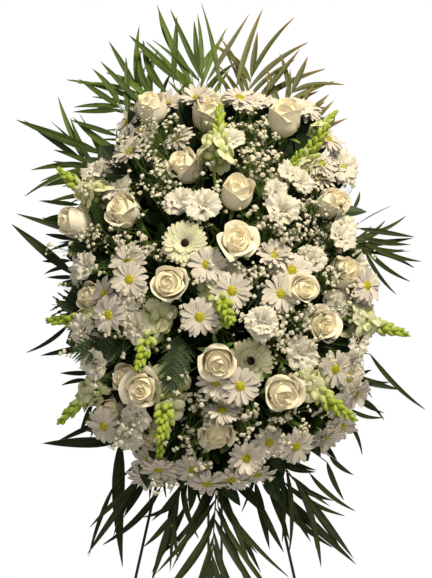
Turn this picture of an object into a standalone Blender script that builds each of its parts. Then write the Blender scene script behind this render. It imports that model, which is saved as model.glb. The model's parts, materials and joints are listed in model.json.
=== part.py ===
"""A standing funeral spray: cut flowers and palm fronds in a foam holder on a folding wire easel.

Metres, +Z up, +X to the viewer's right and -Y towards the viewer. The origin is on the floor under
the middle of the arrangement. The front frame leans back, and what it carries is laid out in its
plane as (across, up, out): across to the right, up along the frame and out towards the viewer,
all measured from the middle of the holder's back.
"""

import math
from dataclasses import dataclass

import bmesh
import bpy
from mathutils import Matrix, Vector

CM = 0.01

# The easel: a front frame of two legs, and a hairpin rear leg that folds.
LEAN = math.radians(12.0)
HOLDER_HEIGHT = 1.25
HOLDER_DEPTH = -0.094
WIRE_RADIUS = 0.0025
APEX_UP = 0.153
APEX_HALF_GAP = 0.0035
FOOT_HALF_SPREAD = 0.312
SPREADER_UP = -0.62
WIRE_END_HEIGHT = 0.006
TOUCH_GAP = 0.0003
RUN_GAP = 0.0004
HINGE_UP = 0.06
HINGE_OUT = -2 * WIRE_RADIUS - TOUCH_GAP
HINGE_HALF_LENGTH = 0.028
REAR_LEG_ANGLE = math.radians(20.0)
REAR_LEG_HALF_GAP = 0.013
EYE_RADIUS = 0.0056
EYE_START, EYE_END = math.radians(-215), math.radians(90)
FOOT_RADIUS = 0.009
FOOT_TAPER = 0.8
FOOT_HEIGHT = 0.024

# The holder: two foam bricks in a shallow tray under a snap-on cage, bound to the front legs.
FOAM_HALF_WIDTH = 0.05
FOAM_HALF_HEIGHT = 0.2245
FOAM_BACK = 0.0123
FOAM_FRONT = 0.085
BRICK_GAP = 0.0015
TRAY_HALF_WIDTH = 0.056
TRAY_HALF_HEIGHT = 0.235
TRAY_BACK = 0.004
TRAY_FLOOR = 0.012
TRAY_RIM = 0.024
CAGE_WALL = 0.0025
CAGE_CLEARANCE = 0.0005
CAGE_BAR = 0.004
CAGE_PITCH = 0.056
CAGE_ROWS = 4
TIE_UPS = {"tie_lower": -CAGE_PITCH, "tie_upper": 2 * CAGE_PITCH}
TIE_WIDTH = 0.0045
TIE_THICKNESS = 0.0012
TIE_GAP = 0.0008
SHELF_UP = -TRAY_HALF_HEIGHT - WIRE_RADIUS - RUN_GAP
SHELF_HALF_WIDTH = 0.042
SHELF_REACH = 0.09
SHELF_BEND = 0.012

# Stems and fronds in the foam. A stem keeps BAR_MARGIN from the middle of any bar of the cage.
STEM_DEPTH = 0.034
STEM_AIM_OUT = 0.04
STEM_AIM_SHARE = 0.55
STEM_AIM_UP_LIMIT = 0.19
STEM_SIDE_OUTS = (0.067, 0.077)
STEM_STEPS = 5
HOLE_CLEARANCE = 0.0006
BAR_MARGIN = 0.0095
FROND_FIRST_OUT = 0.030
FROND_LAYER = 0.0025
FROND_LAYER_STRIDE = 5
FROND_THICKNESS = 0.0013
PETIOLE_HALF_WIDTH = 0.0022
PETIOLE_DEPTH = 0.03
LEAFLET_PAIRS = 7
BOW_FROM = 0.30
BOW = 0.9


@dataclass(frozen=True)
class Kind:
    """A kind of flower: its stem and the outline of its head, as (distance up the axis, radius)."""

    stem_radius: float
    profile: tuple
    colour: tuple

    @property
    def length(self):
        return self.profile[-1][0]


ROSE = Kind(
    0.0025,
    ((0.0, 0.008), (0.014, 0.022), (0.034, 0.031), (0.050, 0.030), (0.060, 0.010)),
    (0.90, 0.83, 0.69),
)
GERBERA = Kind(
    0.003,
    ((0.0, 0.007), (0.008, 0.026), (0.013, 0.039), (0.017, 0.037), (0.018, 0.009)),
    (0.90, 0.91, 0.82),
)
CARNATION = Kind(
    0.002,
    ((0.0, 0.006), (0.022, 0.008), (0.034, 0.026), (0.046, 0.030), (0.056, 0.011)),
    (0.93, 0.92, 0.88),
)
DAISY = Kind(
    0.002,
    ((0.0, 0.006), (0.008, 0.018), (0.012, 0.031), (0.016, 0.029), (0.017, 0.007)),
    (0.94, 0.93, 0.91),
)


@dataclass(frozen=True)
class Flower:
    """A flower: where the middle of its head is, in centimetres, and where it faces, in degrees."""

    kind: Kind
    across: float
    up: float
    out: float
    yaw: float
    pitch: float
    size: float = 1.0


@dataclass(frozen=True)
class Spike:
    """A snapdragon: the foot and the tip of its flowering spike, each (across, up, out) in cm."""

    foot: tuple
    tip: tuple


@dataclass(frozen=True)
class Frond:
    """A palm frond: where it leaves the foam and where its rib ends, each (across, up) in cm."""

    entry: tuple
    end: tuple
    leaflet: float


FLOWERS = {
    "rose_01": Flower(ROSE, -11.5, 34.5, 12.0, -15, 42),
    "rose_02": Flower(ROSE, 12.5, 32.0, 14.0, 5, 42, 1.12),
    "rose_03": Flower(ROSE, -5.0, 21.5, 19.0, -35, 30),
    "rose_04": Flower(ROSE, 3.5, 15.5, 23.5, 10, 33),
    "rose_05": Flower(ROSE, -24.5, 13.5, 11.5, -60, 5),
    "rose_06": Flower(ROSE, -15.5, 14.0, 18.0, -35, 16),
    "rose_07": Flower(ROSE, 3.5, 6.5, 26.5, 10, 8, 1.08),
    "rose_08": Flower(ROSE, -7.5, -0.5, 26.0, -5, -6),
    "rose_09": Flower(ROSE, 20.0, 16.0, 14.5, 40, 14),
    "rose_10": Flower(ROSE, 22.0, 4.0, 14.0, 25, 16),
    "rose_11": Flower(ROSE, 18.0, -6.0, 18.0, 22, -6),
    "rose_12": Flower(ROSE, 0.5, -13.0, 25.5, 5, -35),
    "rose_13": Flower(ROSE, 11.0, -17.5, 21.5, 15, -32, 1.08),
    "rose_14": Flower(ROSE, -12.0, -17.0, 19.5, -10, -16, 1.05),
    "rose_15": Flower(ROSE, 0.5, -23.5, 17.5, 0, -52),
    "gerbera_01": Flower(GERBERA, -5.0, 6.5, 25.5, -5, -4),
    "gerbera_02": Flower(GERBERA, 6.0, -12.5, 20.5, 5, -10),
    "carnation_01": Flower(CARNATION, -2.0, 12.5, 25.0, -5, 10),
    "carnation_02": Flower(CARNATION, 11.0, 12.5, 22.5, 12, 6),
    "carnation_03": Flower(CARNATION, 7.5, -7.0, 25.0, 10, -5),
    "daisy_01": Flower(DAISY, 9.0, -25.5, 16.0, 8, -25),
    "daisy_02": Flower(DAISY, -11.0, -28.0, 12.0, -10, -30),
}

SPIKES = {
    "snapdragon_01": Spike((0.0, 22.5, 22.5), (0.8, 33.0, 19.5)),
    "snapdragon_02": Spike((13.0, 22.0, 19.0), (22.0, 34.0, 13.0)),
    "snapdragon_03": Spike((-19.0, 16.5, 14.5), (-28.5, 24.5, 9.5)),
    "snapdragon_04": Spike((-20.5, -4.0, 13.0), (-30.0, -3.5, 9.5)),
    "snapdragon_05": Spike((-19.5, -15.5, 12.5), (-27.5, -22.0, 8.5)),
    "snapdragon_06": Spike((-8.0, -21.0, 18.5), (-9.5, -28.5, 16.0)),
    "snapdragon_07": Spike((22.5, -4.0, 13.0), (34.5, -6.0, 8.5)),
    "snapdragon_08": Spike((17.0, -16.0, 15.5), (23.0, -21.0, 11.0)),
    "snapdragon_09": Spike((0.0, -5.5, 22.5), (3.0, -7.5, 29.5)),
}
SPIKE_COLOUR = (0.62, 0.75, 0.28)
SPIKE_STEM = 0.0025
SPIKE_PROFILE = ((0.0, 0.012), (0.25, 0.019), (0.6, 0.012), (1.0, 0.003))

# Clockwise from the top. Neighbours lie in layers that are well apart.
FRONDS = (
    Frond((-1.2, 22.45), (-3.0, 45.0), 18),
    Frond((3.6, 22.45), (6.5, 43.0), 16),
    Frond((5.0, 19.6), (13.0, 38.0), 15),
    Frond((5.0, 8.4), (26.5, 11.5), 13),
    Frond((5.0, -8.4), (24.0, -13.0), 12),
    Frond((5.0, -19.6), (16.5, -35.0), 16),
    Frond((1.0, -22.45), (-0.5, -46.0), 17),
    Frond((-2.6, -22.45), (-7.5, -38.0), 15),
    Frond((-5.0, -19.6), (-15.0, -34.0), 16),
    Frond((-5.0, -14.0), (-19.5, -20.5), 13),
    Frond((-5.0, -4.0), (-23.0, -7.5), 11),
    Frond((-5.0, 6.8), (-26.0, 13.5), 14),
    Frond((-5.0, 14.0), (-25.0, 28.0), 17),
    Frond((-3.6, 22.45), (-14.0, 41.0), 17),
)


def local(across, up, out):
    """A point of the leaning frame."""
    return Vector((across, -out, up))


def to_world(point):
    """A point of the leaning frame, in the world."""
    place = Matrix.Translation((0.0, HOLDER_DEPTH, HOLDER_HEIGHT))
    return place @ Matrix.Rotation(-LEAN, 4, "X") @ point


def finish(name, colour, roughness, metallic=0.0):
    """A material of one colour."""
    made = bpy.data.materials.new(name)
    made.use_nodes = True
    shader = made.node_tree.nodes["Principled BSDF"]
    shader.inputs["Base Color"].default_value = (*colour, 1.0)
    shader.inputs["Roughness"].default_value = roughness
    shader.inputs["Metallic"].default_value = metallic
    return made


class Workshop:
    """Makes named objects in two collections: the parts, and the cutters that shape them."""

    def __init__(self):
        for old in list(bpy.data.objects):
            bpy.data.objects.remove(old, do_unlink=True)
        self.parts = bpy.data.collections.new("standing_spray")
        self.cutters = bpy.data.collections.new("cutters")
        for group in (self.parts, self.cutters):
            bpy.context.scene.collection.children.link(group)
        self.cutters.hide_render = True
        self.frame = self.empty("front_frame")
        self.frame.location = (0.0, HOLDER_DEPTH, HOLDER_HEIGHT)
        self.frame.rotation_euler = (-LEAN, 0.0, 0.0)

    def empty(self, name):
        made = bpy.data.objects.new(name, None)
        self.parts.objects.link(made)
        return made

    def add(self, name, data, material=None, parent=None):
        """An object of the arrangement. With no material it is a cutter."""
        made = bpy.data.objects.new(name, data)
        (self.parts if material else self.cutters).objects.link(made)
        made.parent = parent
        if material:
            data.materials.append(material)
        else:
            made.hide_render = True
            made.display_type = "WIRE"
        return made

    def tube(self, name, points, radii, material=None, parent=None, sides=8):
        """A round bar along points, as thick at each as radii says."""
        curve = bpy.data.curves.new(name, "CURVE")
        curve.dimensions = "3D"
        curve.bevel_depth = 1.0
        curve.bevel_resolution = (sides - 4) // 2
        curve.use_fill_caps = True
        spline = curve.splines.new("POLY")
        spline.points.add(len(points) - 1)
        for point, place, radius in zip(spline.points, points, radii):
            point.co = (*place, 1.0)
            point.radius = radius
        return self.add(name, curve, material, parent)

    def wire(self, name, points, material, parent=None, sides=8):
        """A length of the easel's wire."""
        return self.tube(name, points, [WIRE_RADIUS] * len(points), material, parent, sides)

    def outline(self, name, loops, half_thickness, material, parent):
        """A flat shape in its own XY plane. A loop inside another is a hole."""
        curve = bpy.data.curves.new(name, "CURVE")
        curve.dimensions = "2D"
        curve.fill_mode = "BOTH"
        curve.extrude = half_thickness
        for loop in loops:
            spline = curve.splines.new("POLY")
            spline.points.add(len(loop) - 1)
            for point, (x, y) in zip(spline.points, loop):
                point.co = (x, y, 0.0, 1.0)
            spline.use_cyclic_u = True
        return self.add(name, curve, material, parent)

    def boxes(self, name, corners, material=None, parent=None):
        """A mesh of separate boxes, each from its low and its high corner."""
        shape = bmesh.new()
        for low, high in corners:
            size, middle = Vector(high) - Vector(low), (Vector(high) + Vector(low)) / 2
            place = Matrix.Translation(middle) @ Matrix.Diagonal((*size, 1.0))
            bmesh.ops.create_cube(shape, size=1.0, matrix=place)
        return self.add(name, mesh_of(name, shape), material, parent)

    def as_mesh(self, curved):
        """The same object with its curve turned into a closed mesh."""
        bpy.context.view_layer.update()
        graph = bpy.context.evaluated_depsgraph_get()
        mesh = bpy.data.meshes.new_from_object(curved.evaluated_get(graph))
        shape = bmesh.new()
        shape.from_mesh(mesh)
        bmesh.ops.remove_doubles(shape, verts=shape.verts, dist=1e-6)
        name, parent, material = curved.name, curved.parent, curved.active_material
        bpy.data.objects.remove(curved, do_unlink=True)
        return self.add(name, mesh_of(name, shape), material, parent)

    def cut(self, body, cutter):
        """Takes a mesh cutter out of body."""
        modifier = body.modifiers.new(cutter.name, "BOOLEAN")
        modifier.operation = "DIFFERENCE"
        modifier.object = cutter


def mesh_of(name, shape):
    """A mesh from a bmesh, which is freed."""
    mesh = bpy.data.meshes.new(name)
    shape.to_mesh(mesh)
    shape.free()
    return mesh


def arc(centre, radius, start, end, steps):
    """Points (a, b) round a centre, from one angle to another."""
    points = []
    for step in range(steps + 1):
        angle = start + (end - start) * step / steps
        a, b = math.cos(angle), math.sin(angle)
        points.append((centre[0] + radius * a, centre[1] + radius * b))
    return points


def leg_across(up):
    """How far a front leg is from the middle at a height along the frame."""
    foot_up = -HOLDER_HEIGHT / math.cos(LEAN)
    share = (APEX_UP - up) / (APEX_UP - foot_up)
    return APEX_HALF_GAP + (FOOT_HALF_SPREAD - APEX_HALF_GAP) * share


def between_legs(up):
    """Half the length of a wire whose ends butt the insides of the sloping legs."""
    slope = math.atan(leg_across(up - 1.0) - leg_across(up))
    return leg_across(up) - WIRE_RADIUS * (1 / math.cos(slope) + math.tan(slope)) - TOUCH_GAP


def make_foot(shop, name, base, wire_points, half_width, rubber):
    """A rubber tip that stands flat on the floor, hollowed for the wire that is pushed into it."""
    shape = bmesh.new()
    bmesh.ops.create_cone(
        shape,
        cap_ends=True,
        segments=16,
        radius1=FOOT_RADIUS,
        radius2=FOOT_RADIUS * FOOT_TAPER,
        depth=FOOT_HEIGHT,
        matrix=Matrix.Translation((0.0, 0.0, FOOT_HEIGHT / 2)),
    )
    for vert in shape.verts:
        vert.co.x += math.copysign(half_width, vert.co.x)
    foot = shop.add(name, mesh_of(name, shape), rubber)
    foot.location = (base.x, base.y, 0.0)
    points = [point - foot.location for point in wire_points]
    radii = [WIRE_RADIUS + RUN_GAP] * len(points)
    hollow = shop.as_mesh(shop.tube(name + "_hollow", points, radii))
    hollow.location = foot.location
    shop.cut(foot, hollow)


def make_front_frame(shop, wire, rubber):
    """Two legs that meet at the top, a wire welded between them and the hinge wire behind them."""
    end_up = (WIRE_END_HEIGHT - HOLDER_HEIGHT) / math.cos(LEAN)
    for name, side in (("left", -1), ("right", 1)):
        top = local(side * leg_across(APEX_UP), APEX_UP, 0.0)
        end = local(side * leg_across(end_up), end_up, 0.0)
        shop.wire(f"front_leg_{name}", (top, end), wire, shop.frame, 12)
        above, below = to_world(end.lerp(top, 0.05)), to_world(end.lerp(top, -RUN_GAP))
        make_foot(shop, f"foot_tip_{name}", to_world(end), (above, below), 0.0, rubber)
    half = between_legs(SPREADER_UP)
    ends = [local(across, SPREADER_UP, 0.0) for across in (-half, half)]
    shop.wire("spreader_wire", ends, wire, shop.frame, 12)
    half = HINGE_HALF_LENGTH
    ends = [local(across, HINGE_UP, HINGE_OUT) for across in (-half, half)]
    shop.wire("hinge_wire", ends, wire, shop.frame, 16)


def make_shelf(shop, wire):
    """One wire from leg to leg, bent forward in a U under the holder."""
    quarter = math.pi / 2
    heel = (-SHELF_HALF_WIDTH - SHELF_BEND, SHELF_BEND)
    toe = (-SHELF_HALF_WIDTH + SHELF_BEND, SHELF_REACH - SHELF_BEND)
    path = [(-between_legs(SHELF_UP), 0.0)]
    path += arc(heel, SHELF_BEND, -quarter, 0.0, 4)
    path += arc(toe, SHELF_BEND, math.pi, quarter, 4)
    path += [(-across, out) for across, out in reversed(path)]
    points = [local(across, SHELF_UP, out) for across, out in path]
    shop.wire("holder_shelf", points, wire, shop.frame)


def make_rear_leg(shop, wire, rubber):
    """A hairpin whose two ends are curled into eyes round the hinge wire."""
    pivot = shop.empty("rear_leg_pivot")
    pivot.location = to_world(local(0.0, HINGE_UP, HINGE_OUT))
    drop = Vector((0.0, math.sin(REAR_LEG_ANGLE), -math.cos(REAR_LEG_ANGLE)))
    back = Vector((0.0, math.cos(REAR_LEG_ANGLE), math.sin(REAR_LEG_ANGLE)))
    half = REAR_LEG_HALF_GAP
    straight = (pivot.location.z - WIRE_END_HEIGHT) / math.cos(REAR_LEG_ANGLE) - half
    side = arc((0.0, 0.0), EYE_RADIUS, EYE_START, EYE_END, 9) + [(straight / 2, EYE_RADIUS)]
    turn = arc((0.0, straight), half, math.pi, 0.0, 8)
    points = [Vector((-half, 0.0, 0.0)) + drop * down + back * behind for down, behind in side]
    bend = [
        Vector((across, 0.0, 0.0)) + drop * down + back * EYE_RADIUS for across, down in turn
    ]
    mirrored = [Vector((-point.x, point.y, point.z)) for point in reversed(points)]
    shop.wire("rear_leg", points + bend + mirrored, wire, pivot)
    lead = [bend[0] - drop * 0.05, *bend, bend[-1] - drop * 0.05]
    lead = [pivot.location + point for point in lead]
    make_foot(shop, "foot_tip_rear", lead[len(lead) // 2], lead, half, rubber)


def off_the_bars(value, pitch, end):
    """A place along the cage, moved clear of the bar that it is too near."""
    bar = round(value / pitch) * pitch
    if abs(value - bar) < BAR_MARGIN:
        value = bar + math.copysign(BAR_MARGIN, value - bar)
    return max(-end, min(end, value))


def stem_entry(neck):
    """Where a stem goes into the foam, and the point that it aims at inside."""
    limit = STEM_AIM_UP_LIMIT
    aim = local(0.0, max(-limit, min(limit, STEM_AIM_SHARE * neck.z)), STEM_AIM_OUT)
    ray = neck - aim
    front = (-FOAM_FRONT - aim.y) / ray.y
    side = (math.copysign(FOAM_HALF_WIDTH, ray.x) - aim.x) / ray.x if ray.x else math.inf
    end = (math.copysign(FOAM_HALF_HEIGHT, ray.z) - aim.z) / ray.z if ray.z else math.inf
    entry = aim + ray * min(front, side, end)
    entry.z = off_the_bars(entry.z, CAGE_PITCH, FOAM_HALF_HEIGHT)
    if front < side:
        entry.x = off_the_bars(entry.x, 2 * FOAM_HALF_WIDTH, FOAM_HALF_WIDTH - BAR_MARGIN)
        entry.x = math.copysign(max(abs(entry.x), BAR_MARGIN), entry.x)
    else:
        low, high = STEM_SIDE_OUTS
        entry.y = -max(low, min(high, -entry.y))
    return entry, aim


def stem_path(entry, aim, neck, facing):
    """The end in the foam, the entry, and a curve from there towards the neck of the head."""
    inward = (aim - entry).normalized()
    reach = (neck - entry).length
    first, second = entry - inward * reach * 0.4, neck - facing * reach * 0.3
    second.y = min(second.y, -STEM_SIDE_OUTS[1])
    path = [entry + inward * STEM_DEPTH]
    for step in range(STEM_STEPS):
        t = step / STEM_STEPS
        path.append(
            entry * (1 - t) ** 3
            + first * 3 * t * (1 - t) ** 2
            + second * 3 * t * t * (1 - t)
            + neck * t**3
        )
    return path


def head_of(flower):
    """The neck of a flower's head and the way it faces."""
    yaw, pitch = math.radians(flower.yaw), math.radians(flower.pitch)
    facing = local(math.sin(yaw) * math.cos(pitch), math.sin(pitch), math.cos(yaw) * math.cos(pitch))
    middle = local(flower.across, flower.up, flower.out) * CM
    return middle - facing * flower.kind.length * flower.size / 2, facing


def make_stemmed(shop, name, neck, facing, stem_radius, profile, material):
    """A stem and its head, turned round one curved axis. Returns its path in the foam."""
    entry, aim = stem_entry(neck)
    path = stem_path(entry, aim, neck, facing)
    points = path + [neck + facing * along for along, _ in profile]
    radii = [stem_radius] * len(path) + [radius for _, radius in profile]
    shop.tube(name, points, radii, material, shop.frame)
    return path[:3], stem_radius


def make_flowers(shop):
    """Every stem with a single head, and every snapdragon. Returns their paths in the foam."""
    finishes = {
        ROSE: finish("rose_petal", ROSE.colour, 0.6),
        GERBERA: finish("gerbera_petal", GERBERA.colour, 0.6),
        CARNATION: finish("carnation_petal", CARNATION.colour, 0.7),
        DAISY: finish("daisy_petal", DAISY.colour, 0.6),
    }
    paths = []
    for name, flower in FLOWERS.items():
        neck, facing = head_of(flower)
        kind, size = flower.kind, flower.size
        profile = [(along * size, radius * size) for along, radius in kind.profile]
        made = make_stemmed(shop, name, neck, facing, kind.stem_radius, profile, finishes[kind])
        paths.append(made)
    green = finish("snapdragon_floret", SPIKE_COLOUR, 0.55)
    for name, spike in SPIKES.items():
        foot, tip = local(*spike.foot) * CM, local(*spike.tip) * CM
        length = (tip - foot).length
        facing = (tip - foot) / length
        profile = [(along * length, radius) for along, radius in SPIKE_PROFILE]
        paths.append(make_stemmed(shop, name, foot, facing, SPIKE_STEM, profile, green))
    return paths


def frond_outline(reach, leaflet):
    """The outline of a frond along +Y, from its stalk to its tip, as (x, y)."""
    first = 0.30 * reach
    pitch = (reach - first) / LEAFLET_PAIRS
    half = [(PETIOLE_HALF_WIDTH, -PETIOLE_DEPTH), (PETIOLE_HALF_WIDTH, first)]
    for pair in range(LEAFLET_PAIRS):
        share = pair / (LEAFLET_PAIRS - 1)
        root = first + pitch * pair
        angle = math.radians(42 - 22 * share)
        length = leaflet * (0.75 + 1.1 * share - 1.0 * share**2)
        half.append((PETIOLE_HALF_WIDTH, root + 0.0005))
        half.append((length * math.sin(angle), root + length * math.cos(angle)))
        half.append((PETIOLE_HALF_WIDTH, root + pitch * 0.86))
    mirrored = [(-x, y) for x, y in reversed(half)]
    return half + [(0.0, reach + 0.75 * leaflet)] + mirrored


def bow(mesh):
    """Bends what reaches past the flowers: back at the top, and forward where it hangs below."""
    for vert in mesh.vertices:
        past = abs(vert.co.z) - BOW_FROM
        if past > 0:
            vert.co.y += math.copysign(BOW * past * past, vert.co.z)


def make_fronds(shop):
    """The palm fronds, each flat in a layer of its own behind the flowers."""
    leaf = finish("palm_leaf", (0.06, 0.16, 0.045), 0.5)
    upright = Matrix.Rotation(math.radians(90), 4, "X")
    paths = []
    for number, frond in enumerate(FRONDS):
        layer = number * FROND_LAYER_STRIDE % len(FRONDS)
        out = FROND_FIRST_OUT + FROND_LAYER * layer
        entry = local(frond.entry[0] * CM, frond.entry[1] * CM, out)
        rib = local(frond.end[0] * CM, frond.end[1] * CM, out) - entry
        loop = frond_outline(rib.length, frond.leaflet * CM)
        name = f"palm_frond_{number + 1:02d}"
        flat = shop.as_mesh(shop.outline(name, [loop], 0.0, leaf, shop.frame))
        turn = Matrix.Rotation(math.atan2(rib.x, rib.z), 4, "Y")
        flat.data.transform(Matrix.Translation(entry) @ turn @ upright)
        bow(flat.data)
        shell = flat.modifiers.new("thickness", "SOLIDIFY")
        shell.thickness = FROND_THICKNESS
        shell.offset = 0.0
        along = rib.normalized()
        ends = [entry - along * PETIOLE_DEPTH, entry, entry + along * 0.02]
        paths.append((ends, PETIOLE_HALF_WIDTH))
    return paths


def make_holder(shop, paths):
    """The tray, the foam bricks with a hole for every stem, the cage and the two ties."""
    plastic = finish("holder_plastic", (0.05, 0.13, 0.06), 0.45)
    foam = finish("wet_foam", (0.10, 0.24, 0.11), 0.95)
    tie = finish("tie_plastic", (0.02, 0.02, 0.02), 0.4)
    width, height = TRAY_HALF_WIDTH, TRAY_HALF_HEIGHT
    block = [((-width, -TRAY_RIM, -height), (width, -TRAY_BACK, height))]
    tray = shop.boxes("holder_tray", block, plastic, shop.frame)
    room_x = FOAM_HALF_WIDTH + CAGE_CLEARANCE
    room_z = FOAM_HALF_HEIGHT + CAGE_CLEARANCE
    hollow = [((-room_x, -0.1, -room_z), (room_x, -TRAY_FLOOR, room_z))]
    shop.cut(tray, shop.boxes("tray_hollow", hollow, parent=shop.frame))
    make_bricks(shop, foam, paths)
    make_cage(shop, plastic)
    make_ties(shop, tie)


def make_bricks(shop, foam, paths):
    """Two bricks of foam, one above the other, with a hole for every stem that goes in."""
    holes = []
    for number, (path, radius) in enumerate(paths):
        lead = (path[0] - path[1]).normalized() * 0.0015
        points = [path[0] + lead, *path[1:]]
        radii = [radius + HOLE_CLEARANCE] * len(points)
        hole = shop.as_mesh(shop.tube(f"hole_{number + 1:02d}", points, radii, None, shop.frame))
        holes.append((sum(point.z for point in path), hole))
    for name, side in (("foam_lower", -1), ("foam_upper", 1)):
        near, far = sorted((side * BRICK_GAP / 2, side * FOAM_HALF_HEIGHT))
        low = (-FOAM_HALF_WIDTH, -FOAM_FRONT, near)
        high = (FOAM_HALF_WIDTH, -FOAM_BACK, far)
        brick = shop.boxes(name, [(low, high)], foam, shop.frame)
        for height, hole in holes:
            if height * side > 0:
                shop.cut(brick, hole)


def make_cage(shop, plastic):
    """A snap-on grid over the foam: an open-backed box with rows of windows."""
    inner_x = FOAM_HALF_WIDTH + CAGE_CLEARANCE
    inner_z = FOAM_HALF_HEIGHT + CAGE_CLEARANCE
    inner_out = FOAM_FRONT + CAGE_CLEARANCE
    back = TRAY_RIM + TOUCH_GAP
    bar = CAGE_BAR / 2
    x, out, z = inner_x + CAGE_WALL, inner_out + CAGE_WALL, inner_z + CAGE_WALL
    cage = shop.boxes("holder_cage", [((-x, -out, -z), (x, -back, z))], plastic, shop.frame)
    hollow = [((-inner_x, -inner_out, -inner_z), (inner_x, 0.0, inner_z))]
    rows = []
    for row in range(-CAGE_ROWS, CAGE_ROWS):
        low = max(row * CAGE_PITCH, -inner_z) + bar
        high = min((row + 1) * CAGE_PITCH, inner_z) - bar
        rows.append((low, high))
    columns = ((bar - inner_x, -bar), (bar, inner_x - bar))
    deep, shallow = inner_out - bar, back + bar
    front = [((a, -2 * out, low), (b, -shallow, high)) for a, b in columns for low, high in rows]
    sides = [((-2 * x, -deep, low), (2 * x, -shallow, high)) for low, high in rows]
    ends = [((a, -deep, -2 * z), (b, -shallow, 2 * z)) for a, b in columns]
    windows = {"front_windows": front, "side_windows": sides, "end_windows": ends}
    for name, corners in {"cage_hollow": hollow, **windows}.items():
        shop.cut(cage, shop.boxes(name, corners, parent=shop.frame))


def make_ties(shop, tie):
    """Two bands that bind the holder to the legs where these pass behind it."""
    x = TRAY_HALF_WIDTH + TIE_GAP
    back = -WIRE_RADIUS - TIE_GAP
    front = FOAM_FRONT + CAGE_CLEARANCE + CAGE_WALL + TIE_GAP
    thick = TIE_THICKNESS
    inner = [(-x, -back), (x, -back), (x, -front), (-x, -front)]
    outer = [
        (-x - thick, thick - back),
        (x + thick, thick - back),
        (x + thick, -front - thick),
        (-x - thick, -front - thick),
    ]
    for name, up in TIE_UPS.items():
        band = shop.outline(name, [outer, inner], TIE_WIDTH / 2, tie, shop.frame)
        band.location = (0.0, 0.0, up)


def main():
    shop = Workshop()
    wire = finish("easel_wire", (0.018, 0.022, 0.02), 0.4)
    rubber = finish("foot_rubber", (0.015, 0.015, 0.015), 0.8)
    make_front_frame(shop, wire, rubber)
    make_shelf(shop, wire)
    make_rear_leg(shop, wire, rubber)
    paths = make_flowers(shop) + make_fronds(shop)
    make_holder(shop, paths)


main()
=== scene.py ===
"""Standing spray of white flowers and palm fronds on a folding wire easel.

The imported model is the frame. The easel, the holder and the foam stay as they are and take their
finishes here. Each plain flower and frond solid is replaced by a real one, built petal by petal at
the same place, and the smaller flowers, the baby's breath and the greens are set between them.
"""

import json
import logging
import math
import random
from collections.abc import Callable, Iterable, Mapping, Sequence
from dataclasses import dataclass, field
from enum import Enum, IntEnum
from functools import cache

import bpy
import numpy as np
from mathutils import Matrix, Quaternion, Vector

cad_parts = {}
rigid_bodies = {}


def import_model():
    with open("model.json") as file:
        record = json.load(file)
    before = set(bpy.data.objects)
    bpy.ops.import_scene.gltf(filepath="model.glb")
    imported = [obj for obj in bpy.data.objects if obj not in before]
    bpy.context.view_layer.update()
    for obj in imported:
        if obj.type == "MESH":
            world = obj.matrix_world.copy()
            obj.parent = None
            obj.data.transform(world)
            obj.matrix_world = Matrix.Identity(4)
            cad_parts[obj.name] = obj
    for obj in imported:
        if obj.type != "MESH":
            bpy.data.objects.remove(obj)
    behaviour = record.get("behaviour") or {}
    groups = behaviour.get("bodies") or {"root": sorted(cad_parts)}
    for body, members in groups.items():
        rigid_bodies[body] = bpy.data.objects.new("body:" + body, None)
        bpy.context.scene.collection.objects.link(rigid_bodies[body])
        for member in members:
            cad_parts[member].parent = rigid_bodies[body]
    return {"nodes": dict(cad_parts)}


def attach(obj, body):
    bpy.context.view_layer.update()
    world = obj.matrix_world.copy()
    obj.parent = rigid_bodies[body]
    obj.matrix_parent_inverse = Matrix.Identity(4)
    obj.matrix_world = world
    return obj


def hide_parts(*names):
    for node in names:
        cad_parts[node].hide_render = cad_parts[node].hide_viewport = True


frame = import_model()
LOG = logging.getLogger("standing_spray")
Colour = tuple[float, float, float]
Line = tuple[Sequence[Vector], Sequence[float]]
Radii = Sequence[float] | np.ndarray
Socket = int | str

BAKE_MAP = "OFBake"
CELLS = 4  # the bake map is a square of 4 by 4 cells, one kind of surface in each row
CELL_EDGE = 0.06
CELL_INSIDE = 1 - 2 * CELL_EDGE
GOLDEN_ANGLE = math.radians(137.508)
FULL_TURN = 2 * math.pi
ANY_SPIN = 6.28
THIN = 0.0004  # a petal's thickness in metres
SHADES = (0, 1, 2, 3, 3)  # the columns of the bake map that a petal's shade is drawn from
BROWNED_FROM = 30  # a loose leaflet on the right that ends above this many centimetres is browned
OVAL_ACROSS, OVAL_UP, OVAL_MIDDLE = 0.27, 0.355, 0.01  # halves and middle of the flowers' oval, in metres
DOME_ACROSS, DOME_UP = 0.30, 0.385  # halves of the dome that the flowers' faces make
DOME_RIM, DOME_RISE = 0.075, 0.19  # how far out its rim is, and how far its middle stands out from that
FOAM_ACROSS, FOAM_UP, FOAM_FACE = 0.04, 0.20, 0.07  # how far from the middle a stem can enter the foam
ROOT_OUT = 0.05  # how far out from the legs the greens are rooted in the foam
ROOT_ACROSS, ROOT_UP = 0.2, 0.55  # a root's place on the foam, as shares of the flower's or the leaf's
MOVING_WITH = "front_frame"


class Surface(IntEnum):
    """The rows of the bake map: what a patch of a flower is."""

    PETAL = 0
    HEART = 1
    GREEN = 2
    STEM = 3


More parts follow.
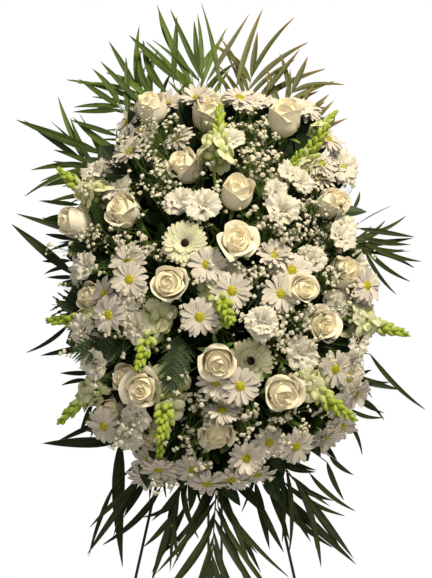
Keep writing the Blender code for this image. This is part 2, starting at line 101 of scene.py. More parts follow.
@dataclass(frozen=True)
class Lean:
    """The leaning axes of the holder: across it, up its face and out from it."""

    depth: float = -0.094
    height: float = 1.25
    angle: float = math.radians(12)

    def place(self, across: float, up: float, out: float) -> Vector:
        """Returns the point in the room for a place in metres from the middle of the legs."""
        sine, cosine = math.sin(self.angle), math.cos(self.angle)
        return Vector((across, self.depth + up * sine - out * cosine, self.height + up * cosine + out * sine))

    def near(self, across: float, up: float, out: float) -> Vector:
        """Returns the point in the room for a place in centimetres."""
        return self.place(across / 100, up / 100, out / 100)

    def facing(self, yaw: float, pitch: float) -> Vector:
        """Finds the way a head looks.

        Args:
            yaw: degrees turned to the right.
            pitch: degrees turned up.

        Returns:
            A unit vector in the room.
        """
        y, p = math.radians(yaw), math.radians(pitch)
        tip = self.place(math.sin(y) * math.cos(p), math.sin(p), math.cos(y) * math.cos(p))
        return (tip - self.place(0, 0, 0)).normalized()

    def local(self, point: Vector) -> Vector:
        """Finds a point of the room in the leaning axes.

        Args:
            point: the point in the room.

        Returns:
            Its place across, up and out, in metres.
        """
        sine, cosine = math.sin(self.angle), math.cos(self.angle)
        y, z = point.y - self.depth, point.z - self.height
        return Vector((point.x, y * sine + z * cosine, z * sine - y * cosine))


LEAN = Lean()
AHEAD = LEAN.facing(0, 0)


# ---------------------------------------------------------------- trees of nodes


def operator(operation: str, first: bool = True) -> Callable[..., "Value"]:
    """Makes a method of Value that adds a Math node.

    Args:
        operation: the node's operation.
        first: whether the value itself comes before the other numbers.

    Returns:
        The method, which takes the node's other numbers.
    """

    def method(self: "Value", *others: "Value | float") -> "Value":
        """Adds the node and returns its result."""
        values = (self, *others) if first else (*others, self)
        return self.graph.add("ShaderNodeMath", dict(enumerate(values)), operation=operation)

    return method


class Value:
    """What a node gives on, with Python's own operators for numbers."""

    __add__ = __radd__ = operator("ADD")
    __sub__ = operator("SUBTRACT")
    __rsub__ = operator("SUBTRACT", first=False)
    __mul__ = __rmul__ = operator("MULTIPLY")
    __truediv__ = operator("DIVIDE")
    times_plus = operator("MULTIPLY_ADD")
    floor = operator("FLOOR")
    fract = operator("FRACT")
    size = operator("ABSOLUTE")
    over = operator("GREATER_THAN")

    def __init__(self, graph: "Graph", socket: bpy.types.NodeSocket) -> None:
        """Keeps the graph and the socket that it comes from."""
        self.graph, self.socket = graph, socket

    def ease(self, low: float, high: float) -> "Value":
        """Returns a number that rises smoothly from 0 at low to 1 at high."""
        inputs = {0: self, 1: low, 2: high}
        return self.graph.add("ShaderNodeMapRange", inputs, interpolation_type="SMOOTHSTEP")

    def part(self, number: int) -> "Value":
        """Returns one coordinate of a vector."""
        return self.graph.add("ShaderNodeSeparateXYZ", {0: self}, number)


class Graph:
    """A tree of nodes."""

    def __init__(self, tree: bpy.types.NodeTree) -> None:
        """Empties the tree and keeps it."""
        self.tree = tree
        tree.nodes.clear()

    def add(
        self, kind: str, inputs: Mapping[Socket, object] | None = None, output: Socket = 0, **settings: object
    ) -> Value:
        """Adds a node.

        Args:
            kind: the node's type.
            inputs: fixed values or other nodes' values, by the socket's name or number.
            output: the output that is wanted, by its name or number.
            **settings: the node's properties.

        Returns:
            What the node gives on.
        """
        made = self.tree.nodes.new(kind)
        for name, value in settings.items():
            setattr(made, name, value)
        for key, value in (inputs or {}).items():
            if isinstance(value, Value):
                self.tree.links.new(value.socket, made.inputs[key])
            else:
                made.inputs[key].default_value = value
        return Value(self, made.outputs[output])

    def close(self, last: Value, kind: str) -> None:
        """Ends the tree with an output node of a kind."""
        self.tree.links.new(last.socket, self.tree.nodes.new(kind).inputs[0])


class Shader(Graph):
    """One material and the nodes in it."""

    def __init__(self, name: str) -> None:
        """Starts an empty material.

        Args:
            name: the material's name.
        """
        self.material = bpy.data.materials.new(name)
        self.material.use_nodes = True
        super().__init__(self.material.node_tree)

    def map_cells(self) -> tuple[Value, Value, Value, Value]:
        """Reads the bake map.

        Returns:
            Across and along inside a cell, the cell's column from 0 to 1, and its row's number.
        """
        place = self.add("ShaderNodeUVMap", uv_map=BAKE_MAP)
        across, along = (place.part(i) * CELLS for i in range(2))
        return across.fract(), along.fract(), across.floor() / (CELLS - 1), along.floor()

    def vector(self, *parts: Value | float) -> Value:
        """Joins three numbers into a vector."""
        return self.add("ShaderNodeCombineXYZ", dict(enumerate(parts)))

    def place(self) -> Value:
        """Returns the place on the object, in metres."""
        return self.add("ShaderNodeTexCoord", None, "Object")

    def noise(self, where: Value, scale: float, detail: float = 2.0) -> Value:
        """Returns smooth noise round 0.5, read at a place, with a scale and a number of finer layers."""
        return self.add("ShaderNodeTexNoise", {"Vector": where, "Scale": scale, "Detail": detail}, "Fac")

    def blend(
        self, share: Value | float, first: Value | Colour, second: Value | Colour, kind: str = "MIX"
    ) -> Value:
        """Mixes two colours.

        Args:
            share: how much of the second.
            first: the first colour.
            second: the second colour.
            kind: the way they are mixed.

        Returns:
            The mixed colour.
        """
        full = [(*c, 1.0) if isinstance(c, tuple) else c for c in (first, second)]
        inputs = {0: share, 6: full[0], 7: full[1]}
        return self.add("ShaderNodeMix", inputs, 2, data_type="RGBA", blend_type=kind, clamp_factor=True)

    def scaled(self, colour: Value, gain: Value) -> Value:
        """Multiplies a colour by a number."""
        return self.blend(1.0, colour, self.vector(gain, gain, gain), "MULTIPLY")

    def finish(
        self, colour: Value, roughness: Value | float, height: Value, lift: float, **fixed: float | Colour
    ) -> bpy.types.Material:
        """Ends the material with one Principled shader.

        Args:
            colour: its base colour.
            roughness: its roughness.
            height: what raises the surface, from 0 to 1.
            lift: how far 1 raises it, in metres.
            **fixed: its other sockets, with underscores for spaces.

        Returns:
            The material.
        """
        bump = self.add("ShaderNodeBump", {"Height": height, "Distance": lift, "Strength": 0.6})
        inputs = {"Base Color": colour, "Roughness": roughness, "Normal": bump}
        inputs |= {name.replace("_", " "): value for name, value in fixed.items()}
        self.close(self.add("ShaderNodeBsdfPrincipled", inputs), "ShaderNodeOutputMaterial")
        return self.material


# ---------------------------------------------------------------- finishes


@dataclass(frozen=True)
class Finish:
    """A finish of some pieces, made into a material once."""

    name: str

    @cache
    def material(self) -> bpy.types.Material:
        """Returns the material, which is built the first time."""
        return self.build(Shader(self.name))

    def build(self, s: Shader) -> bpy.types.Material:
        """Builds the material with the nodes of its shader."""
        raise NotImplementedError


@dataclass(frozen=True)
class BloomFinish(Finish):
    """A flower's skin: its petals, its heart and its green parts, told apart by the bake map."""

    inner: Colour
    outer: Colour
    foot: Colour
    heart_low: Colour
    heart_high: Colour
    green_low: Colour = (0.045, 0.11, 0.02)
    green_high: Colour = (0.16, 0.30, 0.06)
    foot_reach: float = 0.35
    veins: float = 0.10
    vein_count: float = 16.0
    roughness: float = 0.6
    glow: float = 0.0

    def build(self, s: Shader) -> bpy.types.Material:
        """Builds the material.

        Args:
            s: its shader.

        Returns:
            The material.
        """
        across, along, column, row = s.map_cells()
        grain = s.noise(s.vector(across * self.vein_count, along * 2.2, column * 9 + row * 3), 1.0, 2.0)
        blotch = s.noise(s.vector(across * 2, along * 2, column * 7 + row * 5), 1.6, 1.0)
        skin = s.blend(column, self.inner, self.outer)
        skin = s.blend(along.ease(0.0, self.foot_reach), self.foot, skin)
        skin = s.scaled(skin, 1 - self.veins * grain.ease(0.42, 0.62))
        heart = s.blend(grain.ease(0.35, 0.65), self.heart_low, self.heart_high)
        green = s.blend((along * 0.6 + blotch * 0.5).ease(0.2, 0.9), self.green_low, self.green_high)
        colour = s.blend(row.over(Surface.HEART - 0.5), skin, heart)
        colour = s.blend(row.over(Surface.GREEN - 0.5), colour, green)
        return s.finish(
            colour, self.roughness + 0.16 * (blotch - 0.5), grain, 0.0006, Specular_IOR_Level=0.2,
            Subsurface_Weight=self.glow, Subsurface_Scale=0.006, Subsurface_Radius=(1.0, 0.8, 0.5),
        )


@dataclass(frozen=True)
class LeafFinish(Finish):
    """A leaf's skin: streaks along it, a midrib, a tip of another colour, and painted light from above that
    lightens the leaves higher up.
    """

    deep: Colour
    light: Colour
    midrib: Colour
    tip: Colour
    tip_start: float = 0.8
    streaks: float = 26.0
    roughness: float = 0.42
    midrib_width: float = 0.035
    # painted light from above: how much the colour is lifted on leaves higher up, and between which heights
    # in metres it rises
    painted_top_light: float = 0.0
    painted_top_light_from: float = 1.30
    painted_top_light_to: float = 1.75

    def build(self, s: Shader) -> bpy.types.Material:
        """Builds the material.

        Args:
            s: its shader.

        Returns:
            The material.
        """
        across, along, column, row = s.map_cells()
        streak = s.noise(s.vector(across * self.streaks, along * 1.5, column * 11 + row * 4), 1.0, 3.0)
        blotch = s.noise(s.vector(across * 1.5, along * 4, column * 5 + row * 7), 1.3, 2.0)
        bright = (streak * 0.5 + blotch * 0.7 + column * 0.35).ease(0.45, 1.05)
        colour = s.blend(bright, self.deep, self.light)
        colour = s.blend(along.ease(self.tip_start, 1.0) * blotch.ease(0.3, 0.6), colour, self.tip)
        rib = 1 - (across - 0.5).size().ease(self.midrib_width * 0.4, self.midrib_width)
        colour = s.blend(rib * 0.7, colour, self.midrib)
        colour = s.blend(row.over(Surface.GREEN - 0.5), colour, self.midrib)
        # painted light from above: the colour is lifted on leaves that stand higher in the room
        if self.painted_top_light:
            colour = s.scaled(colour, 1 + self.painted_top_light * s.place().part(2).ease(self.painted_top_light_from, self.painted_top_light_to))
        rough = self.roughness + 0.25 * (streak - 0.5)
        return s.finish(colour, rough, streak + rib * 0.8, 0.0004, Specular_IOR_Level=0.22)


@dataclass(frozen=True)
class CoatFinish(Finish):
    """A moulded or painted coat: a colour with fine mottling, and wear where it is rubbed."""

    body: Colour
    worn: Colour
    roughness: float
    mottle: float
    pits: float
    wear: float = 0.25
    lift: float = 0.0003

    def build(self, s: Shader) -> bpy.types.Material:
        """Builds the material.

        Args:
            s: its shader.

        Returns:
            The material.
        """
        where = s.place()
        mottle, pits = s.noise(where, self.mottle, 4.0), s.noise(where, self.pits, 2.0)
        colour = s.blend(self.wear * mottle.ease(0.5, 0.75), self.body, self.worn)
        colour = s.blend(pits.ease(0.55, 0.8) * 0.3, colour, self.worn)
        return s.finish(colour, self.roughness + 0.3 * (mottle - 0.5), pits, self.lift)


@dataclass(frozen=True)
class FoamFinish(Finish):
    """Wet foam: a soft green with pores, and painted shade that darkens the pores."""

    wet_and_pore_shade: Colour = (0.018, 0.075, 0.028)
    dry: Colour = (0.05, 0.16, 0.06)
    pores: float = 900.0

    def build(self, s: Shader) -> bpy.types.Material:
        """Builds the material.

        Args:
            s: its shader.

        Returns:
            The material.
        """
        where = s.place()
        pore = s.add("ShaderNodeTexVoronoi", {"Vector": where, "Scale": self.pores}, "Distance")
        colour = s.blend(s.noise(where, 22.0, 3.0).ease(0.35, 0.7), self.wet_and_pore_shade, self.dry)
        # painted shade: the pores are darkened towards the wet colour
        colour = s.blend(pore.ease(0.25, 0.0) * 0.6, colour, self.wet_and_pore_shade)
        return s.finish(colour, 0.9, pore, 0.0008)


@dataclass(frozen=True)
class FloorFinish(Finish):
    """A plain pale floor with the faintest unevenness."""

    colour: Colour = (0.66, 0.67, 0.69)
    shade: float = 0.97

    def build(self, s: Shader) -> bpy.types.Material:
        """Builds the material.

        Args:
            s: its shader.

        Returns:
            The material.
        """
        mottle = s.noise(s.place(), 3.0, 3.0)
        darker = tuple(self.shade * part for part in self.colour)
        return s.finish(s.blend(mottle, self.colour, darker), 0.6, mottle, 0.0002)


class Finishes:
    """Every finish of the spray. A flower's colours are inner, outer, foot, and low and high in its heart."""

    ROSE = BloomFinish(
        "rose_petal", (0.99, 0.91, 0.71), (0.99, 0.93, 0.78), (0.98, 0.90, 0.70), (0.90, 0.74, 0.48),
        (0.96, 0.86, 0.66), foot_reach=0.5, veins=0.02, glow=0.2,
    )
    GERBERA = BloomFinish(
        "gerbera_petal", (0.82, 0.84, 0.56), (0.86, 0.87, 0.64), (0.54, 0.62, 0.25), (0.012, 0.004, 0.006),
        (0.05, 0.015, 0.02), veins=0.16, vein_count=10, glow=0.15,
    )
    CARNATION = BloomFinish(
        "carnation_petal", (0.74, 0.71, 0.60), (0.80, 0.77, 0.70), (0.58, 0.62, 0.42), (0.65, 0.65, 0.48),
        (0.74, 0.72, 0.60), veins=0.08, glow=0.2,
    )
    DAISY = BloomFinish(
        "daisy_petal", (0.61, 0.58, 0.54), (0.74, 0.70, 0.66), (0.46, 0.52, 0.27), (0.24, 0.27, 0.012),
        (0.82, 0.70, 0.05), foot_reach=0.22, veins=0.14, vein_count=9,
    )
    SNAPDRAGON = BloomFinish(
        "snapdragon_floret", (0.76, 0.78, 0.54), (0.38, 0.49, 0.07), (0.33, 0.45, 0.055), (0.70, 0.78, 0.40),
        (0.84, 0.86, 0.62), (0.07, 0.14, 0.02), (0.23, 0.35, 0.05), foot_reach=0.6, veins=0.12,
    )
    BREATH = BloomFinish(
        "babys_breath", (0.74, 0.71, 0.57), (0.80, 0.77, 0.68), (0.47, 0.52, 0.26), (0.7, 0.7, 0.5),
        (0.85, 0.85, 0.7),
    )
    TWIG = BloomFinish("breath_twig", *[(0.2, 0.3, 0.1)] * 5, (0.06, 0.11, 0.02), (0.16, 0.24, 0.06))
    # the palm leaves carry painted light from above, lighter towards the top
    PALM = LeafFinish(
        "palm_leaf", deep=(0.008, 0.016, 0.003), light=(0.033, 0.052, 0.010), midrib=(0.05, 0.07, 0.02),
        tip=(0.10, 0.07, 0.025), tip_start=0.88, roughness=0.5, painted_top_light=3.2,
    )
    OLIVE = LeafFinish(
        "palm_leaf_olive", deep=(0.052, 0.068, 0.016), light=(0.140, 0.150, 0.036), midrib=(0.20, 0.15, 0.04),
        tip=(0.34, 0.19, 0.05), tip_start=0.60,
    )
    FERN = LeafFinish(
        "leatherleaf", deep=(0.007, 0.022, 0.006), light=(0.024, 0.060, 0.014), midrib=(0.03, 0.06, 0.02),
        tip=(0.03, 0.08, 0.02), streaks=8, roughness=0.5,
    )
    FILLER = LeafFinish(
        "filler_leaf", deep=(0.010, 0.024, 0.007), light=(0.034, 0.066, 0.017), midrib=(0.05, 0.10, 0.03),
        tip=(0.04, 0.08, 0.02), streaks=12, roughness=0.5,
    )
    WIRE = CoatFinish("easel_wire", (0.010, 0.020, 0.012), (0.05, 0.06, 0.05), 0.38, mottle=45, pits=1400)
    RUBBER = CoatFinish("foot_rubber", (0.012, 0.012, 0.012), (0.05, 0.05, 0.048), 0.78, mottle=90, pits=900)
    TRAY = CoatFinish("holder_plastic", (0.010, 0.050, 0.018), (0.03, 0.10, 0.04), 0.42, mottle=30, pits=500)
    TIE = CoatFinish("tie_plastic", (0.012, 0.030, 0.014), (0.05, 0.08, 0.05), 0.45, mottle=80, pits=700)
    FOAM = FoamFinish("wet_foam")
    FLOOR = FloorFinish("pale_floor")


# ---------------------------------------------------------------- meshes


class Sheaf:
    """Closed patches gathered into one mesh, each with its cell of the bake map."""

    def __init__(self) -> None:
        """Starts empty."""
        self.parts: list[tuple[np.ndarray, np.ndarray, np.ndarray]] = []
        self.count = 0

    def add(
        self, rings: np.ndarray, across: np.ndarray, along: np.ndarray, surface: Surface, column: int = 0
    ) -> None:
        """Adds a closed body of rings, each with the same even number of points.

        Args:
            rings: the points, by ring and by place round the ring.
            across: from 0 to 1 for each place round the ring.
            along: from 0 to 1 for each ring.
            surface: the row of the bake map.
            column: the column of the bake map.
        """
        rows, cols = rings.shape[:2]
        grid = np.arange(rows * cols).reshape(rows, cols)
        beside = np.roll(grid, -1, axis=1)
        walls = np.stack([grid[:-1], beside[:-1], beside[1:], grid[1:]], axis=-1).reshape(-1, 4)
        half = np.arange(cols // 2 - 1)
        pairs = np.stack([half, half + 1, cols - 2 - half, cols - 1 - half], axis=1)
        faces = np.concatenate([walls, pairs[:, ::-1], pairs + (rows - 1) * cols])
        points = rings.reshape(-1, 3)
        a, b, c, d = (points[faces][:, i] - points.mean(axis=0) for i in range(4))
        volume = np.einsum("ij,ij->", a, np.cross(b, c)) + np.einsum("ij,ij->", a, np.cross(c, d))
        if volume < 0:
            faces = faces[:, ::-1]
        u = np.broadcast_to(across, (rows, cols))
        v = np.broadcast_to(along[:, None], (rows, cols))
        place = [column + CELL_EDGE + CELL_INSIDE * u, surface + CELL_EDGE + CELL_INSIDE * v]
        self.parts.append((points, faces + self.count, (np.stack(place, axis=-1) / CELLS).reshape(-1, 2)))
        self.count += rows * cols

    def petal(
        self, front: np.ndarray, thick: float, surface: Surface = Surface.PETAL, column: int = 0
    ) -> None:
        """Adds a curved sheet as a thin closed petal.

        Args:
            front: the sheet's points, by row and by place across.
            thick: its thickness.
            surface: the row of the bake map.
            column: the column of the bake map.
        """
        normal = np.cross(np.gradient(front, axis=1), np.gradient(front, axis=0))
        normal /= np.linalg.norm(normal, axis=-1, keepdims=True) + 1e-12
        rings = np.concatenate([front, (front - normal * thick)[:, ::-1]], axis=1)
        v, u = np.linspace(0, 1, len(front)), np.linspace(0, 1, front.shape[1])
        self.add(rings, np.concatenate([u, u[::-1]]), v, surface, column)

    def turned(
        self, centres: np.ndarray, radii: Radii, sides: int, surface: Surface, column: int = 0,
        ruffle: Callable[[np.ndarray, np.ndarray], np.ndarray] | None = None,
    ) -> None:
        """Adds a round body along a line.

        Args:
            centres: the middle of each ring.
            radii: each ring's radius.
            sides: points round a ring, an even number.
            surface: the row of the bake map.
            column: the column of the bake map.
            ruffle: scales the radius by the angle and by the place along.
        """
        line = np.asarray(centres, float)
        axis = np.gradient(line, axis=0)
        axis /= np.linalg.norm(axis, axis=1, keepdims=True) + 1e-12
        guide = np.array([1.0, 0, 0]) if abs(axis[0, 0]) < 0.8 else np.array([0, 1.0, 0])
        side = np.cross(axis, guide)
        side /= np.linalg.norm(side, axis=1, keepdims=True)
        other = np.cross(axis, side)
        turn = np.arange(sides) / sides * FULL_TURN
        along = np.linspace(0, 1, len(line))
        reach = np.asarray(radii, float)[:, None] * np.ones(sides)
        if ruffle:
            reach = reach * ruffle(turn[None, :], along[:, None])
        ring = side[:, None] * np.cos(turn)[:, None] + other[:, None] * np.sin(turn)[:, None]
        across = 1 - np.abs(2 * np.arange(sides) / sides - 1)
        self.add(line[:, None] + reach[..., None] * ring, across, along, surface, column)

    def upright(self, heights: np.ndarray, radii: Radii, sides: int, *rest: object) -> None:
        """Adds a round body along Z; the rest is the same as for turned."""
        self.turned(stack(0 * heights, 0 * heights, heights), radii, sides, *rest)

    def put(self, other: "Sheaf", turn: Matrix, at: Vector) -> None:
        """Adds another sheaf, turned and moved.

        Args:
            other: what is added.
            turn: its rotation.
            at: where its origin goes.
        """
        matrix = np.array(turn)
        for points, faces, places in other.parts:
            self.parts.append((points @ matrix.T + np.array(at), faces + self.count, places))
        self.count += other.count

    def mesh(self, name: str, crease: float) -> bpy.types.Mesh:
        """Makes the mesh.

        Args:
            name: its name.
            crease: edges sharper than this many degrees stay sharp.

        Returns:
            The mesh, with its bake map.
        """
        points, faces, places = (np.concatenate(part) for part in zip(*self.parts, strict=True))
        mesh = bpy.data.meshes.new(name)
        mesh.vertices.add(len(points))
        mesh.vertices.foreach_set("co", points.astype(np.float32).ravel())
        mesh.loops.add(faces.size)
        mesh.loops.foreach_set("vertex_index", faces.astype(np.int32).ravel())
        mesh.polygons.add(len(faces))
        mesh.polygons.foreach_set("loop_start", np.arange(0, faces.size, 4, dtype=np.int32))
        mesh.update(calc_edges=True)
        uvs = places.astype(np.float32)[faces.ravel()]
        mesh.uv_layers.new(name=BAKE_MAP).uv.foreach_set("vector", uvs.ravel())
        mesh.polygons.foreach_set("use_smooth", np.ones(len(faces), bool))
        mesh.set_sharp_from_angle(angle=math.radians(crease))
        return mesh


def shown(name: str, mesh: bpy.types.Mesh) -> bpy.types.Object:
    """Links a mesh to the scene as an object at the origin.

    Args:
        name: the object's name.
        mesh: its mesh.

    Returns:
        The object.
    """
    made = bpy.data.objects.new(name, mesh)
    bpy.context.scene.collection.objects.link(made)
    return made


@dataclass
class Spot:
    """Where one copy of a shape goes."""

    at: Vector
    facing: Vector
    spin: float
    size: tuple[float, float, float]
    kind: int = 0
    face: Vector | None = None

    def euler(self) -> tuple[float, float, float]:
        """Finds the turn that looks the shape's Z along the facing and its Y along the face.

        Returns:
            The turn's angles about X, Y and Z.
        """
        if self.face is None:
            turn = self.facing.to_track_quat("Z", "Y")
        else:
            across = self.face.cross(self.facing).normalized()
            turn = Matrix((across, self.facing.cross(across), self.facing)).transposed().to_quaternion()
        return tuple((turn @ Quaternion((0, 0, 1), self.spin)).to_euler("XYZ"))


@dataclass
class Piece:
    """What a finished piece is called, its slot, its finish and the nodes that it replaces."""

    name: str
    slot: str
    finish: Finish
    nodes: Sequence[str] = ()


class NodeTree(Graph):
    """A Geometry Nodes tree with named inputs, and the way it is run."""

    INPUTS: tuple[tuple[str, str, float | None], ...] = ()
    LAYERS: dict[str, str] = {}

    def __init__(self, name: str, made: list[bpy.types.Object]) -> None:
        """Makes the tree, its sockets and its nodes.

        Args:
            name: the tree's name.
            made: the list that its pieces are added to.
        """
        super().__init__(bpy.data.node_groups.new(name, "GeometryNodeTree"))
        self.made = made
        self.sockets: dict[str, str] = {}
        face = self.tree.interface
        for way in ("INPUT", "OUTPUT"):
            face.new_socket("Geometry", in_out=way, socket_type="NodeSocketGeometry")
        for label, kind, default in (*self.INPUTS, ("Finish", "Material", None)):
            socket = face.new_socket(label, in_out="INPUT", socket_type="NodeSocket" + kind)
            if default is not None:
                socket.default_value = default
            self.sockets[label] = socket.identifier
        self.start = self.tree.nodes.new("NodeGroupInput")
        solid = self.add("GeometryNodeRealizeInstances", {0: self.grow()})
        dressed = self.add("GeometryNodeSetMaterial", {"Geometry": solid, "Material": self.given("Finish")})
        self.close(dressed, "NodeGroupOutput")

    def given(self, label: str) -> Value:
        """Returns one of the tree's inputs."""
        return Value(self, self.start.outputs[label])

    def layer(self, name: str) -> Value:
        """Returns what a layer of the source says at each point."""
        kind = self.LAYERS.get(name, "FLOAT")
        return self.add("GeometryNodeInputNamedAttribute", {"Name": name}, "Attribute", data_type=kind)

    def grow(self) -> Value:
        """Adds the nodes from the input on and returns what they make."""
        raise NotImplementedError

    def run(self, source: bpy.types.Mesh, piece: Piece, layers: Sequence[list], **values: object) -> None:
        """Runs the tree on a mesh and makes the piece, a plain mesh with no modifier behind it.

        Args:
            source: the mesh that goes in.
            piece: the piece that comes out.
            layers: for each of the tree's layers, what it holds at each point.
            **values: the tree's inputs, with underscores for spaces.
        """
        for (label, kind), held in zip(self.LAYERS.items(), layers, strict=True):
            key = "vector" if kind == "FLOAT_VECTOR" else "value"
            numbers = np.array(held, np.int32 if kind == "INT" else np.float32).ravel()
            source.attributes.new(label, kind, "POINT").data.foreach_set(key, numbers)
        carrier = shown(piece.name + "_points", source)
        modifier = carrier.modifiers.new("grow", "NODES")
        modifier.node_group = self.tree
        for label, value in {**values, "Finish": piece.finish.material()}.items():
            modifier[self.sockets[label.replace("_", " ")]] = value
        graph = bpy.context.evaluated_depsgraph_get()
        mesh = bpy.data.meshes.new_from_object(carrier.evaluated_get(graph))
        mesh.name = piece.name
        bpy.data.objects.remove(carrier)
        for label in (*self.LAYERS, "stem_along"):
            if label in mesh.attributes:
                mesh.attributes.remove(mesh.attributes[label])
        item = shown(piece.name, mesh)
        if piece.nodes:
            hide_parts(*piece.nodes)
        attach(item, MOVING_WITH)
        self.made.append(item)


class PlantTree(NodeTree):
    """Sets one of a few shapes on each point of a mesh."""

    INPUTS = (
        ("Shapes", "Collection", None), ("Size", "Float", 1.0), ("Size Spread", "Float", 0.0),
        ("Seed", "Int", 1),
    )
    LAYERS = {"turn": "FLOAT_VECTOR", "size": "FLOAT_VECTOR", "kind": "INT"}

    def grow(self) -> Value:
        """Adds the nodes: points, a shape on each, its turn and its size.

        Returns:
            The instances.
        """
        spread = self.given("Size Spread")
        inputs = {2: 1 - spread, 3: 1 + spread, "Seed": self.given("Seed")}
        share = self.add("FunctionNodeRandomValue", inputs, 1, data_type="FLOAT") * self.given("Size")
        scale = {0: self.layer("size"), "Scale": share}
        inputs = {"Collection": self.given("Shapes"), "Separate Children": True, "Reset Children": True}
        inputs = {
            "Points": self.add("GeometryNodeMeshToPoints", {"Mesh": self.given("Geometry")}),
            "Instance": self.add("GeometryNodeCollectionInfo", inputs),
            "Pick Instance": True,
            "Instance Index": self.layer("kind"),
            "Rotation": self.add("FunctionNodeEulerToRotation", {0: self.layer("turn")}),
            "Scale": self.add("ShaderNodeVectorMath", scale, operation="SCALE"),
        }
        return self.add("GeometryNodeInstanceOnPoints", inputs)

    def plant(
        self, piece: Piece, shapes: Sequence[bpy.types.Mesh], spots: Sequence[Spot], seed: int,
        spread: float = 0.0,
    ) -> None:
        """Plants shapes at the spots.

        Args:
            piece: the piece that they make.
            shapes: the shapes that a spot's kind chooses from.
            spots: where they go.
            seed: fixes what is random.
            spread: how much their size varies, as a share.
        """
        held = bpy.data.collections.new(piece.name + "_shapes")
        bpy.context.scene.collection.children.link(held)
        for number, mesh in enumerate(shapes):
            held.objects.link(bpy.data.objects.new(f"{piece.name}_shape_{number:02d}", mesh))
        source = bpy.data.meshes.new(piece.name + "_spots")
        source.from_pydata([spot.at for spot in spots], [], [])
        layers = zip(*((spot.euler(), spot.size, spot.kind) for spot in spots), strict=True)
        self.run(source, piece, list(layers), Shapes=held, Size_Spread=spread, Seed=seed)
        for item in list(held.objects):
            bpy.data.objects.remove(item)
        bpy.data.collections.remove(held)


class TwineTree(NodeTree):
    """Turns lines into round stems, as thick as each point says."""

    INPUTS = (("Sides", "Int", 6), ("Thickness", "Float", 1.0))
    LAYERS = {"thick": "FLOAT"}

    def grow(self) -> Value:
        """Adds the nodes: lines to curves, curves to tubes, and their bake map.

        Returns:
            The tubes.
        """
        radius = self.layer("thick") * self.given("Thickness")
        curves = self.add("GeometryNodeMeshToCurve", {0: self.given("Geometry")})
        curves = self.add("GeometryNodeSetCurveRadius", {"Curve": curves, "Radius": radius})
        along = self.add("GeometryNodeSplineParameter", None, "Factor")
        inputs = {"Geometry": curves, "Name": "stem_along", "Value": along}
        curves = self.add("GeometryNodeStoreNamedAttribute", inputs, data_type="FLOAT", domain="POINT")
        inputs = {"Resolution": self.given("Sides"), "Radius": 1.0}
        ring = self.add("GeometryNodeCurvePrimitiveCircle", inputs)
        inputs = {"Curve": curves, "Profile Curve": ring, "Fill Caps": True, "Scale": radius}
        tubes = self.add("GeometryNodeCurveToMesh", inputs)
        height = self.layer("stem_along").times_plus(CELL_INSIDE / CELLS, (Surface.STEM + CELL_EDGE) / CELLS)
        place = self.add("ShaderNodeCombineXYZ", {0: 0.5 / CELLS, 1: height})
        inputs = {"Geometry": tubes, "Name": BAKE_MAP, "Value": place}
        return self.add("GeometryNodeStoreNamedAttribute", inputs, data_type="FLOAT2", domain="CORNER")

    def twine(self, piece: Piece, lines: Iterable[Line], sides: int = 6) -> None:
        """Makes stems.

        Args:
            piece: the piece that they make.
            lines: each stem's points, and its radius at each.
            sides: points round a stem.
        """
        points: list[Vector] = []
        edges: list[tuple[int, int]] = []
        thick: list[float] = []
        for line, radii in lines:
            edges += [(len(points) + i, len(points) + i + 1) for i in range(len(line) - 1)]
            points += line
            thick += radii
        source = bpy.data.meshes.new(piece.name + "_lines")
        source.from_pydata(points, edges, [])
        self.run(source, piece, [thick], Sides=sides)


class Garden:
    """The two trees that grow the pieces, and the pieces so far."""

    def __init__(self) -> None:
        """Makes the trees."""
        self.pieces: list[bpy.types.Object] = []
        self.plants = PlantTree("plant_on_points", self.pieces)
        self.twines = TwineTree("lines_to_stems", self.pieces)


# ---------------------------------------------------------------- shapes


def steps(count: int) -> np.ndarray:
    """Returns even steps from 0 to 1 as a column."""
    return np.linspace(0, 1, count)[:, None]


def sides(count: int) -> np.ndarray:
    """Returns even steps from -1 to 1 as a row."""
    return np.linspace(-1, 1, count)[None, :]


def rise(v: np.ndarray, low: float, high: float) -> np.ndarray:
    """Rises straight from 0 at low to 1 at high."""
    return np.clip((v - low) / (high - low), 0, 1)


def stack(x: np.ndarray, y: np.ndarray, z: np.ndarray) -> np.ndarray:
    """Joins coordinates into points."""
    return np.stack(np.broadcast_arrays(x, y, z), axis=-1)


def spun(points: np.ndarray, angle: float) -> np.ndarray:
    """Turns points about Z.

    Args:
        points: the points.
        angle: the turn in radians.

    Returns:
        The turned points.
    """
    c, s = math.cos(angle), math.sin(angle)
    x, y, z = points[..., 0], points[..., 1], points[..., 2]
    return np.stack([x * c - y * s, x * s + y * c, z], axis=-1)


def ray_petal(
    start: float, length: float, width: float, pitch: float, bend: float, cup: float, cols: int = 3,
    rows: int = 6,
) -> np.ndarray:
    """Shapes a strap petal that grows out along X from a disc.

    Args:
        start: how far from the middle it grows.
        length: its length.
        width: its width.
        pitch: how steeply it leaves, in radians over the disc.
        bend: how far it turns over its length, in radians.
        cup: how far its edges rise, as a share of its width.
        cols: points across.
        rows: points along.

    Returns:
        The petal's points.
    """
    v, u = steps(rows), sides(cols)
    turn = pitch + bend * v
    mean = pitch + bend * v / 2
    half = width / 2 * (0.34 + 0.66 * np.sin(rise(v, 0, 0.6) * math.pi / 2))
    half = half * np.sqrt(1 - 0.86 * rise(v, 0.74, 1) ** 2)
    lift = cup * width * u**2 * np.sin(math.pi * np.clip(v, 0.1, 0.9))
    x, z = start + length * v * np.cos(mean), length * v * np.sin(mean)
    return stack(x - lift * np.sin(turn), half * u, z + lift * np.cos(turn))


